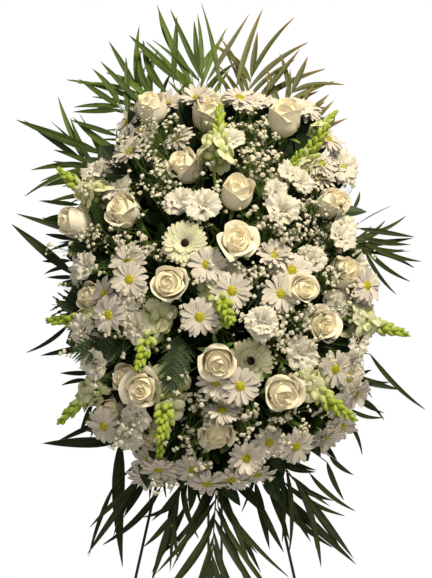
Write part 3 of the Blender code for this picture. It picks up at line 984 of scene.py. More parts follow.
class Shape:
    """A shape that is planted: a subclass fills the sheaf, with what is random from the draw."""

    name: str
    seed: int
    rng: random.Random
    made: Sheaf
    crease = 60.0

    def fill(self) -> None:
        """Adds the shape's bodies to the sheaf."""
        raise NotImplementedError

    def shape(self, seed: int = 0) -> bpy.types.Mesh:
        """Builds the shape along Z with its foot at the origin.

        Args:
            seed: fixes what is random.

        Returns:
            The shape's mesh.
        """
        self.seed, self.rng, self.made = seed, random.Random(seed), Sheaf()
        self.fill()
        return self.made.mesh(f"{self.name}_{seed}", self.crease)


class RoseForm(Enum):
    """How open a rose is: petals, radius and height in millimetres, opening, curl, half a petal's wrap."""

    BUD = (11, 29.0, 66.0, -0.10, 3.2, 86.0)
    HALF = (14, 27.0, 64.0, 0.14, 4.2, 78.0)
    OPEN = (16, 24.5, 60.0, 0.34, 5.5, 70.0)


@dataclass
class RoseHead(Shape):
    """A garden rose: broad cupped petals in one spiral round an unopened core, five sepals and a hip."""

    form: RoseForm
    name: str = "rose"
    thick: float = 0.0005
    heart: float = 0.003
    core: float = 0.0035
    closed_wrap: float = 156.0
    rows: int = 10
    cols: int = 11

    def petal(self, share: float, angle: float) -> np.ndarray:
        """Shapes one petal.

        Args:
            share: its place in the spiral, from 0 in the heart to 1 outside.
            angle: its place round the head.

        Returns:
            The petal's points.
        """
        _, radius, tall, opening, most_curl, widest = self.form.value
        draw = self.rng.uniform
        v, u = steps(self.rows) ** 0.85, sides(self.cols)
        belly = (self.core + (radius / 1000 - self.core) * share**1.35) * draw(0.97, 1.03)
        rim = belly * (1 + opening * share**1.6) - 0.0016 * (1 - share)
        height = 0.97 + 0.05 * math.sin(math.pi * min(1.0, share * 1.3)) - 0.35 * max(opening, 0) * share**3
        height = tall / 1000 * height * (draw(0.97, 1.02) - 0.05 * share**2)
        curl = most_curl / 1000 * share**1.5 * draw(0.6, 1.5)
        wrap = math.radians(widest + (self.closed_wrap - widest) * (1 - share) ** 2.2)
        wide = rise(v, 0, 0.45)
        rho = self.heart + (belly - self.heart) * np.sin(wide * math.pi / 2) ** 0.75
        rho = rho + (rim - belly) * rise(v, 0.45, 1) ** 1.6
        roll = rise(v, 0.72, 1) ** 2 * (0.75 + 0.3 * np.abs(u) ** 2)
        wave = 0.0007 * np.sin(u * 4 + draw(0, 6)) * rise(v, 0.4, 1) * share
        rho = (rho + curl * roll + wave) * (1 + (0.055 + draw(-0.03, 0.03)) * u * rise(v, 0.1, 0.5))
        z = 0.002 + height * v**0.92 * (1 - 0.20 * np.abs(u) ** 2.6 * v**2) - curl * 1.1 * roll
        z = z + 0.0012 * np.exp(-((u / 0.3) ** 2)) * rise(v, 0.8, 1) * share
        narrow = (0.42 + 0.58 * np.sin(wide * math.pi / 2)) * (1 - 0.36 * rise(v, 0.5, 1) ** 2.5)
        around = angle + wrap * u * narrow
        return stack(rho * np.cos(around), rho * np.sin(around), z)

    def fill(self) -> None:
        """Adds the petals, the core, the hip and the sepals."""
        made, draw = self.made, self.rng.uniform
        count, radius, tall = self.form.value[:3]
        start = draw(0, 6)
        for number in range(count):
            share = number / (count - 1)
            angle = start + number * GOLDEN_ANGLE + draw(-0.15, 0.15)
            shade = min(3, max(0, round(share * 3 + draw(-0.5, 0.5))))
            made.petal(self.petal(share, angle), self.thick, Surface.PETAL, shade)
        levels = np.array([0.15, 0.40, 0.66, 0.82, 0.90]) * tall / 1000
        girth = np.array([0.25, 0.74, 0.76, 0.52, 0.16]) * radius / 1000
        made.upright(levels, girth, 12, Surface.PETAL)
        heights = np.array([-0.008, -0.004, 0.0, 0.003])
        made.upright(heights, (0.0028, 0.0058, 0.0066, 0.0035), 8, Surface.GREEN, 1)
        for number in range(5):
            leaf = ray_petal(0.005, 0.026, 0.007, 0.5, draw(-1.2, -0.4), 0.12, 3, 5)
            made.petal(spun(leaf, number * FULL_TURN / 5 + 0.3), THIN, Surface.GREEN, 2)


@dataclass
class RayHead(Shape):
    """A daisy or a gerbera: rings of strap petals round a domed disc of tiny florets."""

    name: str
    radius: float
    disc: float
    dome: float
    rings: tuple[tuple[int, float, float], ...]
    petal_width: float
    knobs: int
    knob: float
    cup: float
    droop: float
    cols: int
    wild: float

    def fill(self) -> None:
        """Adds the rings of petals, the disc and the green back."""
        draw, wild, inner = self.rng.uniform, self.wild, self.disc * 0.7
        back = self.dome * 0.9
        for count, reach, pitch in self.rings:
            start = draw(0, 1)
            for number in range(count):
                length = (self.radius - inner) * reach * draw(1 - wild, 1.04)
                width = self.petal_width * draw(0.88, 1.1)
                rise_by, bend = pitch + draw(-1.6, 1.6) * wild, self.droop * draw(0.2, 1.6)
                petal = ray_petal(inner, length, width, rise_by, bend, self.cup, self.cols)
                petal[..., 2] += back + draw(0, 0.001)
                turn = (number + start + draw(-2.4, 2.4) * wild) * FULL_TURN / count
                self.made.petal(spun(petal, turn), THIN, Surface.PETAL, self.rng.choice(SHADES))
        self.add_disc(back)
        heights = np.array([0, 0.35, 0.75, 1.0]) * back
        self.made.upright(heights, np.array([0.3, 0.75, 0.95, 0.85]) * self.disc, 10, Surface.GREEN, 1)

    def add_disc(self, back: float) -> None:
        """Adds the dome and its florets.

        Args:
            back: how far the petals stand before the back.
        """
        levels = np.array([0.0, 0.35, 0.7, 0.93, 1.0])
        self.made.upright(
            back + self.dome * levels, self.disc * np.sqrt(1 - (levels * 0.98) ** 2), 12, Surface.HEART
        )
        for number in range(self.knobs):
            share = math.sqrt((number + 0.5) / self.knobs) * 0.97
            turn = number * GOLDEN_ANGLE
            foot = np.array([math.cos(turn) * share, math.sin(turn) * share, 0]) * self.disc
            foot[2] = back + self.dome * math.sqrt(1 - share**2) * 0.96
            lean = np.array([math.cos(turn) * share * 0.7, math.sin(turn) * share * 0.7, 1.0])
            tall = self.knob * self.rng.uniform(0.9, 1.5)
            line = np.array([foot + lean * tall * part for part in (0, 0.6, 1)])
            girth = (self.knob * 0.5, self.knob * 0.55, self.knob * 0.2)
            self.made.turned(line, girth, 4, Surface.HEART, number % 4)


@dataclass
class CarnationHead(Shape):
    """A carnation: many fans with toothed, ruffled rims, over a long calyx."""

    rings: tuple[tuple[int, float, float, float], ...] = (
        (4, 0.15, 0.74, 3.6), (5, 0.5, 0.86, 3.4), (6, 0.95, 0.97, 2.8), (7, 1.5, 1.02, 2.0),
    )
    breadth: float = 0.60
    name: str = "carnation"
    radius: float = 0.031
    calyx: float = 0.028
    thick: float = 0.00045
    tooth: float = 0.895
    cols: int = 13
    rows: int = 6

    def fan(self, pitch: float, reach: float, ruffle: float) -> np.ndarray:
        """Shapes one petal.

        Args:
            pitch: how far it leans out at its rim, in radians.
            reach: its length as a share of the longest.
            ruffle: how deep its folds are, in metres.

        Returns:
            The petal's points.
        """
        draw = self.rng.uniform
        v, u = steps(self.rows), sides(self.cols)
        length = self.radius * 1.12 * reach * draw(0.92, 1.08)
        tooth = np.where(np.arange(self.cols) % 2 == 0, self.tooth, 1.0)[None, :]
        far = length * v * (1 - 0.34 * u**2 * v) * (1 + (tooth - 1) * rise(v, 0.8, 1))
        lean = pitch * v
        half = self.radius * self.breadth * rise(v, 0, 1) ** 0.75 + 0.002
        fold = ruffle * draw(0.7, 1.3) * v**1.8 * np.sin(u * draw(5.2, 7.8) + draw(0, 6))
        curl = 0.003 * rise(v, 0.6, 1) ** 2 - 0.0025 * u**2 * v
        x = far * np.sin(lean * 0.62) + fold * np.cos(lean) + curl
        z = far * np.cos(lean * 0.62) - fold * np.sin(lean) - curl * 0.6
        return stack(x, half * u * (1 - 0.08 * v), z)

    def fill(self) -> None:
        """Adds the petals and the calyx."""
        draw = self.rng.uniform
        for count, pitch, reach, ruffle in self.rings:
            for number in range(count):
                petal = self.fan(pitch * draw(0.85, 1.15), reach, ruffle / 1000)
                petal[..., 0] += 0.001
                petal[..., 2] += self.calyx * 0.82
                turn = (number + draw(-0.3, 0.3)) * FULL_TURN / count + pitch
                self.made.petal(spun(petal, turn), self.thick, Surface.PETAL, self.rng.choice(SHADES))
        heights = np.array([0.0, 0.12, 0.5, 0.9, 1.0]) * self.calyx
        self.made.upright(heights, (0.003, 0.0055, 0.0065, 0.0075, 0.006), 8, Surface.GREEN, 2)


@dataclass
class SnapdragonSpike(Shape):
    """A snapdragon's spike: open florets at its foot, then closed buds, then tiny green ones at the tip."""

    name: str = "snapdragon"
    length: float = 0.115
    florets: int = 34
    open_until: float = 0.22
    floret: float = 0.024
    bud: float = 0.0245
    last_bud: float = 0.0088
    white_until: float = 0.32
    green_from: float = 0.5

    def closed(self, size: float, shade: int) -> Sheaf:
        """Shapes a closed bud.

        Args:
            size: its length.
            shade: its column of the bake map.

        Returns:
            The bud, with its foot at the origin.
        """
        bud = Sheaf()
        levels = np.array([0.0, 0.18, 0.5, 0.8, 1.0])
        heights = levels * size
        line = stack(-0.20 * size * levels**2, 0 * heights, heights)
        bud.turned(line, size * np.array([0.11, 0.23, 0.27, 0.20, 0.05]), 8, Surface.PETAL, shade)
        calyx = size * np.array([0.1, 0.20, 0.26, 0.27, 0.2])
        bud.upright(heights * 0.36 - 0.001, calyx, 6, Surface.GREEN, 3)
        return bud

    def opened(self, size: float) -> Sheaf:
        """Shapes an open floret: a pouch with two lips of rounded lobes.

        Args:
            size: its length.

        Returns:
            The floret, with its foot at the origin.
        """
        flower, draw = Sheaf(), self.rng.uniform
        heights = np.array([0.0, 0.2, 0.6, 1.0]) * size
        flower.upright(heights, size * np.array([0.14, 0.28, 0.33, 0.22]), 8, Surface.PETAL, 1)
        for angle, reach in ((0.5, 0.95), (-0.5, 0.95), (2.1, 0.8), (-2.1, 0.8), (math.pi, 0.85)):
            lobe = ray_petal(size * 0.18, size * reach, size * 0.85, 0.55, -0.9 * draw(0.7, 1.2), -0.12, 4, 6)
            lobe[..., 2] += size * 0.72
            flower.petal(spun(lobe, angle + draw(-0.15, 0.15)), THIN)
        calyx = size * np.array([0.08, 0.22, 0.3, 0.24])
        flower.upright(heights * 0.3 - 0.001, calyx, 6, Surface.GREEN, 3)
        return flower

    def fill(self) -> None:
        """Adds the stem and everything on it, from the foot up."""
        draw, levels = self.rng.uniform, np.linspace(0, 1, 7)
        sway = draw(-0.004, 0.004)
        line = stack(sway * np.sin(levels * 3), 0 * levels, levels * self.length * 0.97)
        self.made.turned(line, 0.0024 - 0.0016 * levels, 6, Surface.STEM)
        for number in range(self.florets):
            t = ((number + 0.3) / self.florets) ** 0.92
            turn = number * GOLDEN_ANGLE + draw(-0.25, 0.25)
            tilt = 1.25 - 0.62 * t + draw(-0.16, 0.16)
            if t < self.open_until:
                flower = self.opened(self.floret * draw(0.85, 1.1))
            else:
                share = (t - self.open_until) / (1 - self.open_until)
                size = self.bud - (self.bud - self.last_bud) * share**1.5
                shade = 1 + (t >= self.white_until) + (t >= self.green_from)
                flower = self.closed(size * draw(0.9, 1.1), shade)
            look = Matrix.Rotation(turn, 3, "Z") @ Matrix.Rotation(tilt, 3, "Y")
            self.made.put(flower, look, Vector((sway * math.sin(3 * t), 0, t * self.length * 0.97 - 0.004)))


@dataclass
class Blade(Shape):
    """A leaf blade along Z, one unit long and one unit wide, creased along its middle.

    The planting scales it, so the same few blades serve every frond. The seed is its column of the bake map.
    """

    name: str
    sway: float = 0.0
    arch: float = 0.0
    crease_depth: float = 0.18
    widest: float = 0.35
    rows: int = 12
    twist: float = 0.0
    foot: float = 0.16
    crease = 30.0

    def fill(self) -> None:
        """Adds the blade."""
        v, u = steps(self.rows), sides(5)
        swell = np.sin(np.minimum(v / self.widest, 1) * math.pi / 2) ** 0.8
        fall = np.cos(np.maximum(v - self.widest, 0) / (1 - self.widest) * math.pi / 2)
        taper = np.maximum(np.maximum(fall, 0) ** 0.85, 0.03)
        half = 0.5 * np.maximum(swell * (1 - self.foot) + self.foot, 0) * taper
        turn = self.twist * v
        lift = (np.abs(u) - 0.5) * self.crease_depth * half
        x = half * u * np.cos(turn) - lift * np.sin(turn)
        y = half * u * np.sin(turn) + lift * np.cos(turn)
        front = stack(x + self.sway * v**2, y - self.arch * v**2, v)
        self.made.petal(front, 0.03, Surface.PETAL, self.seed % CELLS)


@dataclass
class FernFrond(Shape):
    """A leatherleaf frond: a rib with toothed side fronds that shorten towards its tip."""

    teeth: int = 6
    name: str = "fern"
    length: float = 0.20
    width: float = 0.13
    pairs: int = 11
    droop: float = 0.03

    def fill(self) -> None:
        """Adds the rib and the side fronds."""
        draw, levels = self.rng.uniform, np.linspace(0, 1, 6)
        line = stack(0 * levels, -self.droop * levels**2, levels * self.length)
        self.made.turned(line, 0.0012 - 0.0008 * levels, 4, Surface.GREEN)
        rows = self.teeth * 2 + 1
        v, u = steps(rows), sides(3)
        tooth = np.where(np.arange(rows) % 2 == 0, 0.45, 1.0)[:, None]
        for number in range(self.pairs * 2):
            side = 1 if number % 2 else -1
            t = 0.14 + 0.84 * (number // 2 + 0.5 * (number % 2)) / self.pairs
            reach = self.width / 2 * math.sin(min(1, (1 - t) * 1.35 + 0.1) * math.pi / 2) * draw(0.9, 1.08)
            half = reach * 0.19 * (1 - v**1.5 * 0.9) * tooth
            angle = math.radians(draw(52, 60) - 22 * t)
            along, over = side * math.sin(angle), math.cos(angle)
            curve = draw(0.0, 0.18) * reach * v**2
            x = along * reach * v + over * half * u * side
            z = t * self.length + over * reach * v - math.sin(angle) * half * u + curve
            y = -self.droop * t**2 - 0.12 * reach * v**2 + 0.12 * np.abs(u) * half
            self.made.petal(stack(x, y, z), THIN, Surface.PETAL, number % CELLS)


class Puff(Shape):
    """A blossom of baby's breath, one unit in radius."""

    name = "blossom"
    crease = 50.0

    def fill(self) -> None:
        """Adds the blossom, with a wavy rim."""
        levels = np.array([-0.9, 0.0, 0.75])
        waves, shift = 3 + self.seed % 2, self.rng.uniform(0, 6)
        self.made.upright(
            levels, (0.35, 1.1, 0.6), 8, Surface.PETAL, self.seed % CELLS,
            lambda turn, along: 1 + 0.30 * np.sin(turn * waves + shift + 3 * along),
        )


# ---------------------------------------------------------------- sub-assemblies


@dataclass
class Bloom:
    """A flower's place: where its head ends, which way it looks and how large it is."""

    tip: Vector
    facing: Vector
    size: float = 1.0
    kind: int = 0
    entry: Vector | None = None
    entry_way: Vector | None = None


class SolidFlower:
    """Reads where a plain flower solid's head and stem end."""

    CAP_TRIANGLES = 6
    SAME_PLANE = 5e-5
    SAME_WAY = 0.998
    ROUND = 1.05

    def __init__(self, name: str) -> None:
        """Reads the solid's triangles and finds its two flat ends.

        Args:
            name: the CAD node's name.
        """
        mesh = frame["nodes"][name].data
        corners = np.array([[mesh.vertices[i].co for i in face.vertices] for face in mesh.polygons], float)
        normals = np.cross(corners[:, 1] - corners[:, 0], corners[:, 2] - corners[:, 0])
        normals /= np.linalg.norm(normals, axis=1, keepdims=True) + 1e-15
        centres = corners.mean(axis=1)
        self.points = corners.reshape(-1, 3)
        ends = []
        taken = np.zeros(len(normals), bool)
        for number, normal in enumerate(normals):
            level = np.abs((centres - centres[number]) @ normal) < self.SAME_PLANE
            same = level & (normals @ normal > self.SAME_WAY)
            if taken[number] or same.sum() != self.CAP_TRIANGLES:
                continue
            taken |= same
            ring = np.unique(np.round(corners[same].reshape(-1, 3), 6), axis=0)
            reach = np.linalg.norm(ring - ring.mean(axis=0), axis=1)
            if reach.max() < self.ROUND * reach.min():
                ends.append((Vector(ring.mean(axis=0)), Vector(normals[same].mean(axis=0)).normalized()))
        ends.sort(key=lambda end: LEAN.local(end[0]).z)
        (self.foot, self.foot_way), (self.tip, self.facing) = ends[0], ends[-1]

    def bloom(self, length: float, radius: float, kind: int) -> Bloom:
        """Finds the bloom that takes the solid's place.

        Args:
            length: the usual head's length.
            radius: the usual head's radius.
            kind: which of its species' shapes it takes.

        Returns:
            The bloom, with its stem's end in the foam.
        """
        facing = np.array(self.facing)
        behind = (np.array(self.tip) - self.points) @ facing
        aside = np.linalg.norm(self.points - np.array(self.tip) + behind[:, None] * facing, axis=1)
        widest = float(aside[(behind > -1e-6) & (behind < length * 0.9)].max())
        return Bloom(self.tip, self.facing, widest / radius, kind, self.foot, -self.foot_way)


@dataclass
class Species:
    """One kind of flower on the spray: its shapes, its plain solids and the ones that are only seen.

    A row of more gives across, up and out in centimetres, yaw and pitch in degrees, size and shape.
    """

    HANDLE = 0.4  # how far a stem runs straight on at each end, as a share of the way
    STEM_POINTS = 10

    name: str
    shapes: list[bpy.types.Mesh]
    finish: BloomFinish
    length: float
    radius: float
    slot: str
    stem: float
    more: Sequence[Sequence[float]] = ()
    kinds: Sequence[int] = ()
    spread: float = 0.72
    blooms: list[Bloom] = field(default_factory=list)

    def seen(self, across: float, up: float, out: float, yaw: float, pitch: float, *rest: float) -> Bloom:
        """Returns the bloom that a row of more places."""
        way = LEAN.facing(yaw * self.spread, pitch * self.spread)
        return Bloom(LEAN.near(across, up, out), way, *rest)

    def foot(self, bloom: Bloom) -> Vector:
        """Returns where a bloom's head starts."""
        return bloom.tip - bloom.facing * self.length * bloom.size

    def stem_line(self, bloom: Bloom) -> Line:
        """Finds a stem's curve from the foam to the head's foot.

        Args:
            bloom: the flower.

        Returns:
            The stem's points, and its radius at each.
        """
        head = self.foot(bloom)
        entry, way = bloom.entry, bloom.entry_way
        if entry is None:
            local = LEAN.local(head)
            across = max(-FOAM_ACROSS, min(FOAM_ACROSS, local.x * ROOT_ACROSS))
            entry = LEAN.place(across, max(-FOAM_UP, min(FOAM_UP, local.y * ROOT_UP)), FOAM_FACE)
            way = (LEAN.place(local.x * 0.5, local.y, 0.15) - entry).normalized()
        reach = (head - entry).length * self.HANDLE
        a, b, c, d = entry, entry + way * reach, head - bloom.facing * reach, head
        line = [
            a * (1 - t) ** 3 + b * 3 * t * (1 - t) ** 2 + c * 3 * t * t * (1 - t) + d * t**3
            for t in (i / (self.STEM_POINTS - 1) for i in range(self.STEM_POINTS))
        ]
        return line, [self.stem * bloom.size] * len(line)

    def build(self, garden: Garden, seed: int) -> None:
        """Plants the heads and grows the stems.

        Args:
            garden: where they grow.
            seed: fixes what is random.
        """
        nodes = sorted(name for name in frame["nodes"] if name.startswith(self.name + "_"))
        for number, node in enumerate(nodes):
            kind = self.kinds[number] if self.kinds else number % len(self.shapes)
            self.blooms.append(SolidFlower(node).bloom(self.length, self.radius, kind))
        for number, row in enumerate(self.more):
            bloom = self.seen(*row)
            bloom.kind = bloom.kind or number % len(self.shapes)
            self.blooms.append(bloom)
        rng = random.Random(seed)
        spots = [
            Spot(self.foot(bloom), bloom.facing, rng.uniform(0, ANY_SPIN), (bloom.size,) * 3, bloom.kind)
            for bloom in self.blooms
        ]
        heads = Piece(f"{self.name}_heads", self.slot, self.finish, nodes)
        garden.plants.plant(heads, self.shapes, spots, seed)
        stems = [self.stem_line(bloom) for bloom in self.blooms]
        garden.twines.twine(Piece(f"{self.name}_stems", self.slot, self.finish), stems)


def oval_place(share: float, turn: float, tall: float = OVAL_UP) -> tuple[float, float]:
    """Finds a place on the oval that the flowers fill.

    Args:
        share: from 0 in its middle to 1 at its rim.
        turn: the way from its middle, in radians.
        tall: half its height.

    Returns:
        The place across and up, in metres.
    """
    return OVAL_ACROSS * share * math.cos(turn), OVAL_MIDDLE + tall * share * math.sin(turn)


def dome_depth(across: float, up: float) -> float:
    """Returns how far out the flowers' dome reaches at a place on the face, in metres."""
    inside = 1 - (across / DOME_ACROSS) ** 2 - ((up - OVAL_MIDDLE) / DOME_UP) ** 2
    return DOME_RIM + DOME_RISE * max(inside, 0.0) ** 0.55


def dome_out(across: float, up: float) -> Vector:
    """Returns the way out of the dome at a place on its face."""
    yaw, pitch = math.atan2(across * 1.6, DOME_ACROSS), math.atan2(up * 1.25, DOME_ACROSS)
    return LEAN.facing(math.degrees(yaw), math.degrees(pitch))


def front_of(way: Vector) -> Vector:
    """Returns the way that is square to another and looks ahead."""
    return (AHEAD - way * AHEAD.dot(way)).normalized()


def jitter(draw: Callable[[float, float], float], low: float, high: float) -> Vector:
    """Draws a small vector."""
    return Vector([draw(low, high) for _ in range(3)])


@dataclass(frozen=True)
class FrondLook:
    """How one frond is grown: leaflet and end leaflet in centimetres, pairs, degrees, share of each side."""

    reach: float
    end: float
    pairs: int
    foot_angle: float
    tip_angle: float
    left: float = 1.0
    right: float = 1.0
    olive: bool = False


@dataclass
class Palms:
    """The palm fronds: a rib with creased leaflets on both sides, and single leaflets between them."""

    LOOKS = (
        FrondLook(15, 12, 6, 42, 22), FrondLook(14, 10, 8, 42, 20, 0.9, 1.0, True),
        FrondLook(11, 8, 9, 42, 20, 0.9, 0.9, True), FrondLook(12, 12, 10, 34, 12, 0.75),
        FrondLook(6, 8, 5, 45, 25, 0.7), FrondLook(11, 14, 6, 38, 15, 0.6), FrondLook(17, 14, 9, 32, 18),
        FrondLook(11, 12, 5, 24, 12, 1.0, 0.6), FrondLook(10, 14, 3, 12, 6), FrondLook(6, 13, 4, 40, 20),
        FrondLook(6, 9, 4, 35, 20), FrondLook(8, 14, 7, 32, 14, 1.0, 0.7), FrondLook(14, 14, 9, 42, 18, 0.9),
        FrondLook(14, 12, 7, 42, 20),
    )

    width: float = 0.0105
    rib: float = 0.0020
    seed: int = 5

    def blades(self) -> list[bpy.types.Mesh]:
        """Builds the few blades that every frond is made of.

        Returns:
            The blades' meshes.
        """
        made = [
            Blade("palm_straight"), Blade("palm_right", 1.4, 0.6), Blade("palm_left", -1.4, 0.6),
            Blade("palm_arched_right", 3.2, 1.2, rows=16), Blade("palm_arched_left", -3.2, 1.2, rows=16),
            Blade("palm_twisted", 0.8, 1.0, twist=0.9),
        ]
        return [blade.shape(number) for number, blade in enumerate(made)]

    def ends(self, name: str) -> tuple[Vector, Vector]:
        """Finds where a plain frond leaves the foam and where its tip is.

        Args:
            name: the CAD node's name.

        Returns:
            The two ends.
        """
        points = [vertex.co.copy() for vertex in frame["nodes"][name].data.vertices]
        middle = LEAN.place(0, 0, ROOT_OUT)
        start = min(points, key=lambda p: (p - middle).length)
        tip = max(points, key=lambda p: (p - start).length)
        return max(points, key=lambda p: (p - tip).length), tip

    def frond(self, name: str, look: FrondLook, rng: random.Random) -> tuple[list[Spot], Line]:
        """Lays one frond's leaflets and its rib.

        Args:
            name: the CAD node that it stands for.
            look: how it is grown.
            rng: the draw.

        Returns:
            The leaflets, and the rib as a stem.
        """
        start, tip = self.ends(name)
        reach = look.reach / 100
        way = (tip - start).normalized()
        end = tip - way * look.end / 100
        face = front_of(way)
        aside = way.cross(face)
        spots = []
        for number in range(look.pairs * 2):
            side = 1 if number % 2 else -1
            t = 0.28 + 0.72 * (number // 2 + 0.4 * (number % 2) + 0.5) / look.pairs
            angle = look.foot_angle + (look.tip_angle - look.foot_angle) * t
            angle = math.radians(angle + rng.uniform(-12, 12))
            length = reach * rng.uniform(0.72, 1.2) * (0.82 + 0.26 * math.sin(min(t, 1) * 2.4))
            length *= look.right if side > 0 else look.left
            leaning = way * math.cos(angle) + aside * side * math.sin(angle) + face * rng.uniform(-0.12, 0.08)
            inward = 1 if side < 0 else 2
            kind = rng.choice((inward, inward, inward + 2, inward + 2, 5))
            wide = self.width * rng.uniform(0.75, 1.15) * (0.75 + 2.0 * reach)
            spin = rng.uniform(-0.35, 0.35)
            at = start.lerp(end, min(t, 1.0))
            spots.append(Spot(at, leaning.normalized(), spin, (wide, wide, length), kind, face))
        spots.append(Spot(end, way, 0.0, (self.width * 1.1, self.width * 1.1, look.end / 100), 0, face))
        line = [start.lerp(end, i / 5) for i in range(6)]
        return spots, (line, [self.rib * (1 - 0.12 * i) for i in range(6)])

    def build(self, garden: Garden) -> None:
        """Builds every frond and the loose leaflets.

        Args:
            garden: where they grow.
        """
        rng = random.Random(self.seed)
        nodes = sorted(name for name in frame["nodes"] if name.startswith("palm_frond_"))
        green: list[Spot] = []
        olive: list[Spot] = []
        ribs: list[Line] = []
        for name, look in zip(nodes, self.LOOKS, strict=True):
            leaflets, rib = self.frond(name, look, rng)
            (olive if look.olive else green).extend(leaflets)
            ribs.append(rib)
        for across, up, far_across, far_up, wide, kind in STRAY_LEAFLETS:
            a, b = LEAN.near(across, up, 6), LEAN.near(far_across, far_up, 3.5)
            way = (b - a).normalized()
            size = (wide / 1000, wide / 1000, (b - a).length)
            spot = Spot(a, way, rng.uniform(-0.2, 0.2), size, kind, front_of(way))
            (olive if far_across > 0 and far_up > BROWNED_FROM else green).append(spot)
            root = LEAN.place(across * 0.0012, up * 0.0055, ROOT_OUT)
            ribs.append(([root.lerp(a, i / 3) for i in range(4)], [self.rib * 0.5] * 4))
        blades = self.blades()
        leaves = Piece("palm_leaflets", "palm_leaf", Finishes.PALM, nodes)
        browned = Piece("palm_leaflets_olive", "palm_leaf", Finishes.OLIVE)
        garden.plants.plant(leaves, blades, green, self.seed)
        garden.plants.plant(browned, blades, olive, self.seed)
        garden.twines.twine(Piece("palm_ribs", "palm_leaf", Finishes.PALM), ribs)


@dataclass
class Greens:
    """The greens under the flowers: leatherleaf fronds and broad filler leaves set in the foam."""

    ferns: int = 40
    fillers: int = 200
    collar: int = 170
    collar_rings: tuple[float, ...] = (0.26, 0.40, 0.52, 0.62, 0.70, 0.77)
    backing_leaf: tuple[float, float, float] = (0.055, 0.055, 0.085)
    fern_length: float = 0.20
    seed: int = 9

    def fronds(self, rng: random.Random) -> list[Spot]:
        """Spreads the leatherleaf fronds, and then places the ones that show.

        Args:
            rng: the draw.

        Returns:
            Where each goes.
        """
        spots = []
        for number in range(self.ferns):
            across, up = oval_place(math.sqrt((number + 0.5) / self.ferns), number * GOLDEN_ANGLE)
            foot = LEAN.place(across * 0.25, up * 0.6, 0.06)
            tip = LEAN.place(across, up, dome_depth(across, up) * 0.88)
            scale = min(1.35, max(0.7, (tip - foot).length / self.fern_length))
            way, out = (tip - foot).normalized(), dome_out(across, up)
            spots.append(Spot(foot, way, rng.uniform(-0.6, 0.6), (scale,) * 3, number % 3, out))
        for across, up, out, yaw, pitch, size, turn in SHOWN_FERNS:
            way = LEAN.facing(yaw, pitch)
            spots.append(Spot(LEAN.near(across, up, out), way, math.radians(turn), (size,) * 3, 3, AHEAD))
        return spots

    def leaves(self, rng: random.Random) -> list[Spot]:
        """Spreads the filler leaves, lays the collar over the foam and closes the gaps at the back.

        Args:
            rng: the draw.

        Returns:
            Where each goes.
        """
        spots = []
        for number in range(self.fillers):
            across, up = oval_place(math.sqrt((number + 0.5) / self.fillers), number * GOLDEN_ANGLE)
            depth = dome_depth(across, up) * rng.uniform(0.45, 0.70)
            way = (dome_out(across, up) + jitter(rng.uniform, -0.8, 0.8)).normalized()
            wide, spin, tall = rng.uniform(0.018, 0.030), rng.uniform(0, ANY_SPIN), rng.uniform(0.045, 0.07)
            at = LEAN.place(across * 0.88, up * 0.92, depth)
            spots.append(Spot(at, way, spin, (wide, wide, tall), number % 2))
        for number in range(self.collar):
            share, turn = self.collar_rings[number % 6], number * GOLDEN_ANGLE
            at = LEAN.place(*oval_place(share, turn), 0.055 + 0.012 * (number % 4))
            end = LEAN.place(math.cos(turn), math.sin(turn) * 1.2, rng.uniform(0.05, 0.5))
            way, wide = (end - LEAN.place(0, 0, 0)).normalized(), rng.uniform(0.045, 0.062)
            size = (wide, wide, (1.3 - share) * 0.10)
            spots.append(Spot(at, way, rng.uniform(-0.5, 0.5), size, number % 2, AHEAD))
        for across, up in BACKING:
            outward = (LEAN.near(across, up, 0) - LEAN.place(0, 0, 0)).normalized()
            at = LEAN.near(across, up, 6.5) - outward * 0.035
            spots.append(Spot(at, outward, rng.uniform(-0.4, 0.4), self.backing_leaf, 0, AHEAD))
        return spots

    def build(self, garden: Garden) -> None:
        """Builds the greens.

        Args:
            garden: where they grow.
        """
        rng = random.Random(self.seed)
        fronds, leaves = self.fronds(rng), self.leaves(rng)
        ferns = [FernFrond(4).shape(i) for i in range(3)] + [FernFrond().shape(3)]
        fern = Piece("leatherleaf_fronds", "palm_leaf", Finishes.FERN)
        garden.plants.plant(fern, ferns, fronds, self.seed, 0.08)
        broad = [
            Blade("filler_flat", crease_depth=0.1, widest=0.5, rows=8).shape(0),
            Blade("filler_cupped", 0.2, 0.5, 0.25, 0.45, 8).shape(1),
        ]
        filler = Piece("filler_leaves", "palm_leaf", Finishes.FILLER)
        garden.plants.plant(filler, broad, leaves, self.seed + 1, 0.15)
        lines = []
        for spot in leaves:
            place = LEAN.local(spot.at)
            root = LEAN.place(place.x * ROOT_ACROSS, place.y * ROOT_UP, ROOT_OUT)
            lines.append(([root, root.lerp(spot.at, 0.6) - AHEAD * 0.01, spot.at], [0.0011, 0.0009, 0.0007]))
        garden.twines.twine(Piece("filler_stems", "palm_leaf", Finishes.FILLER), lines, 4)


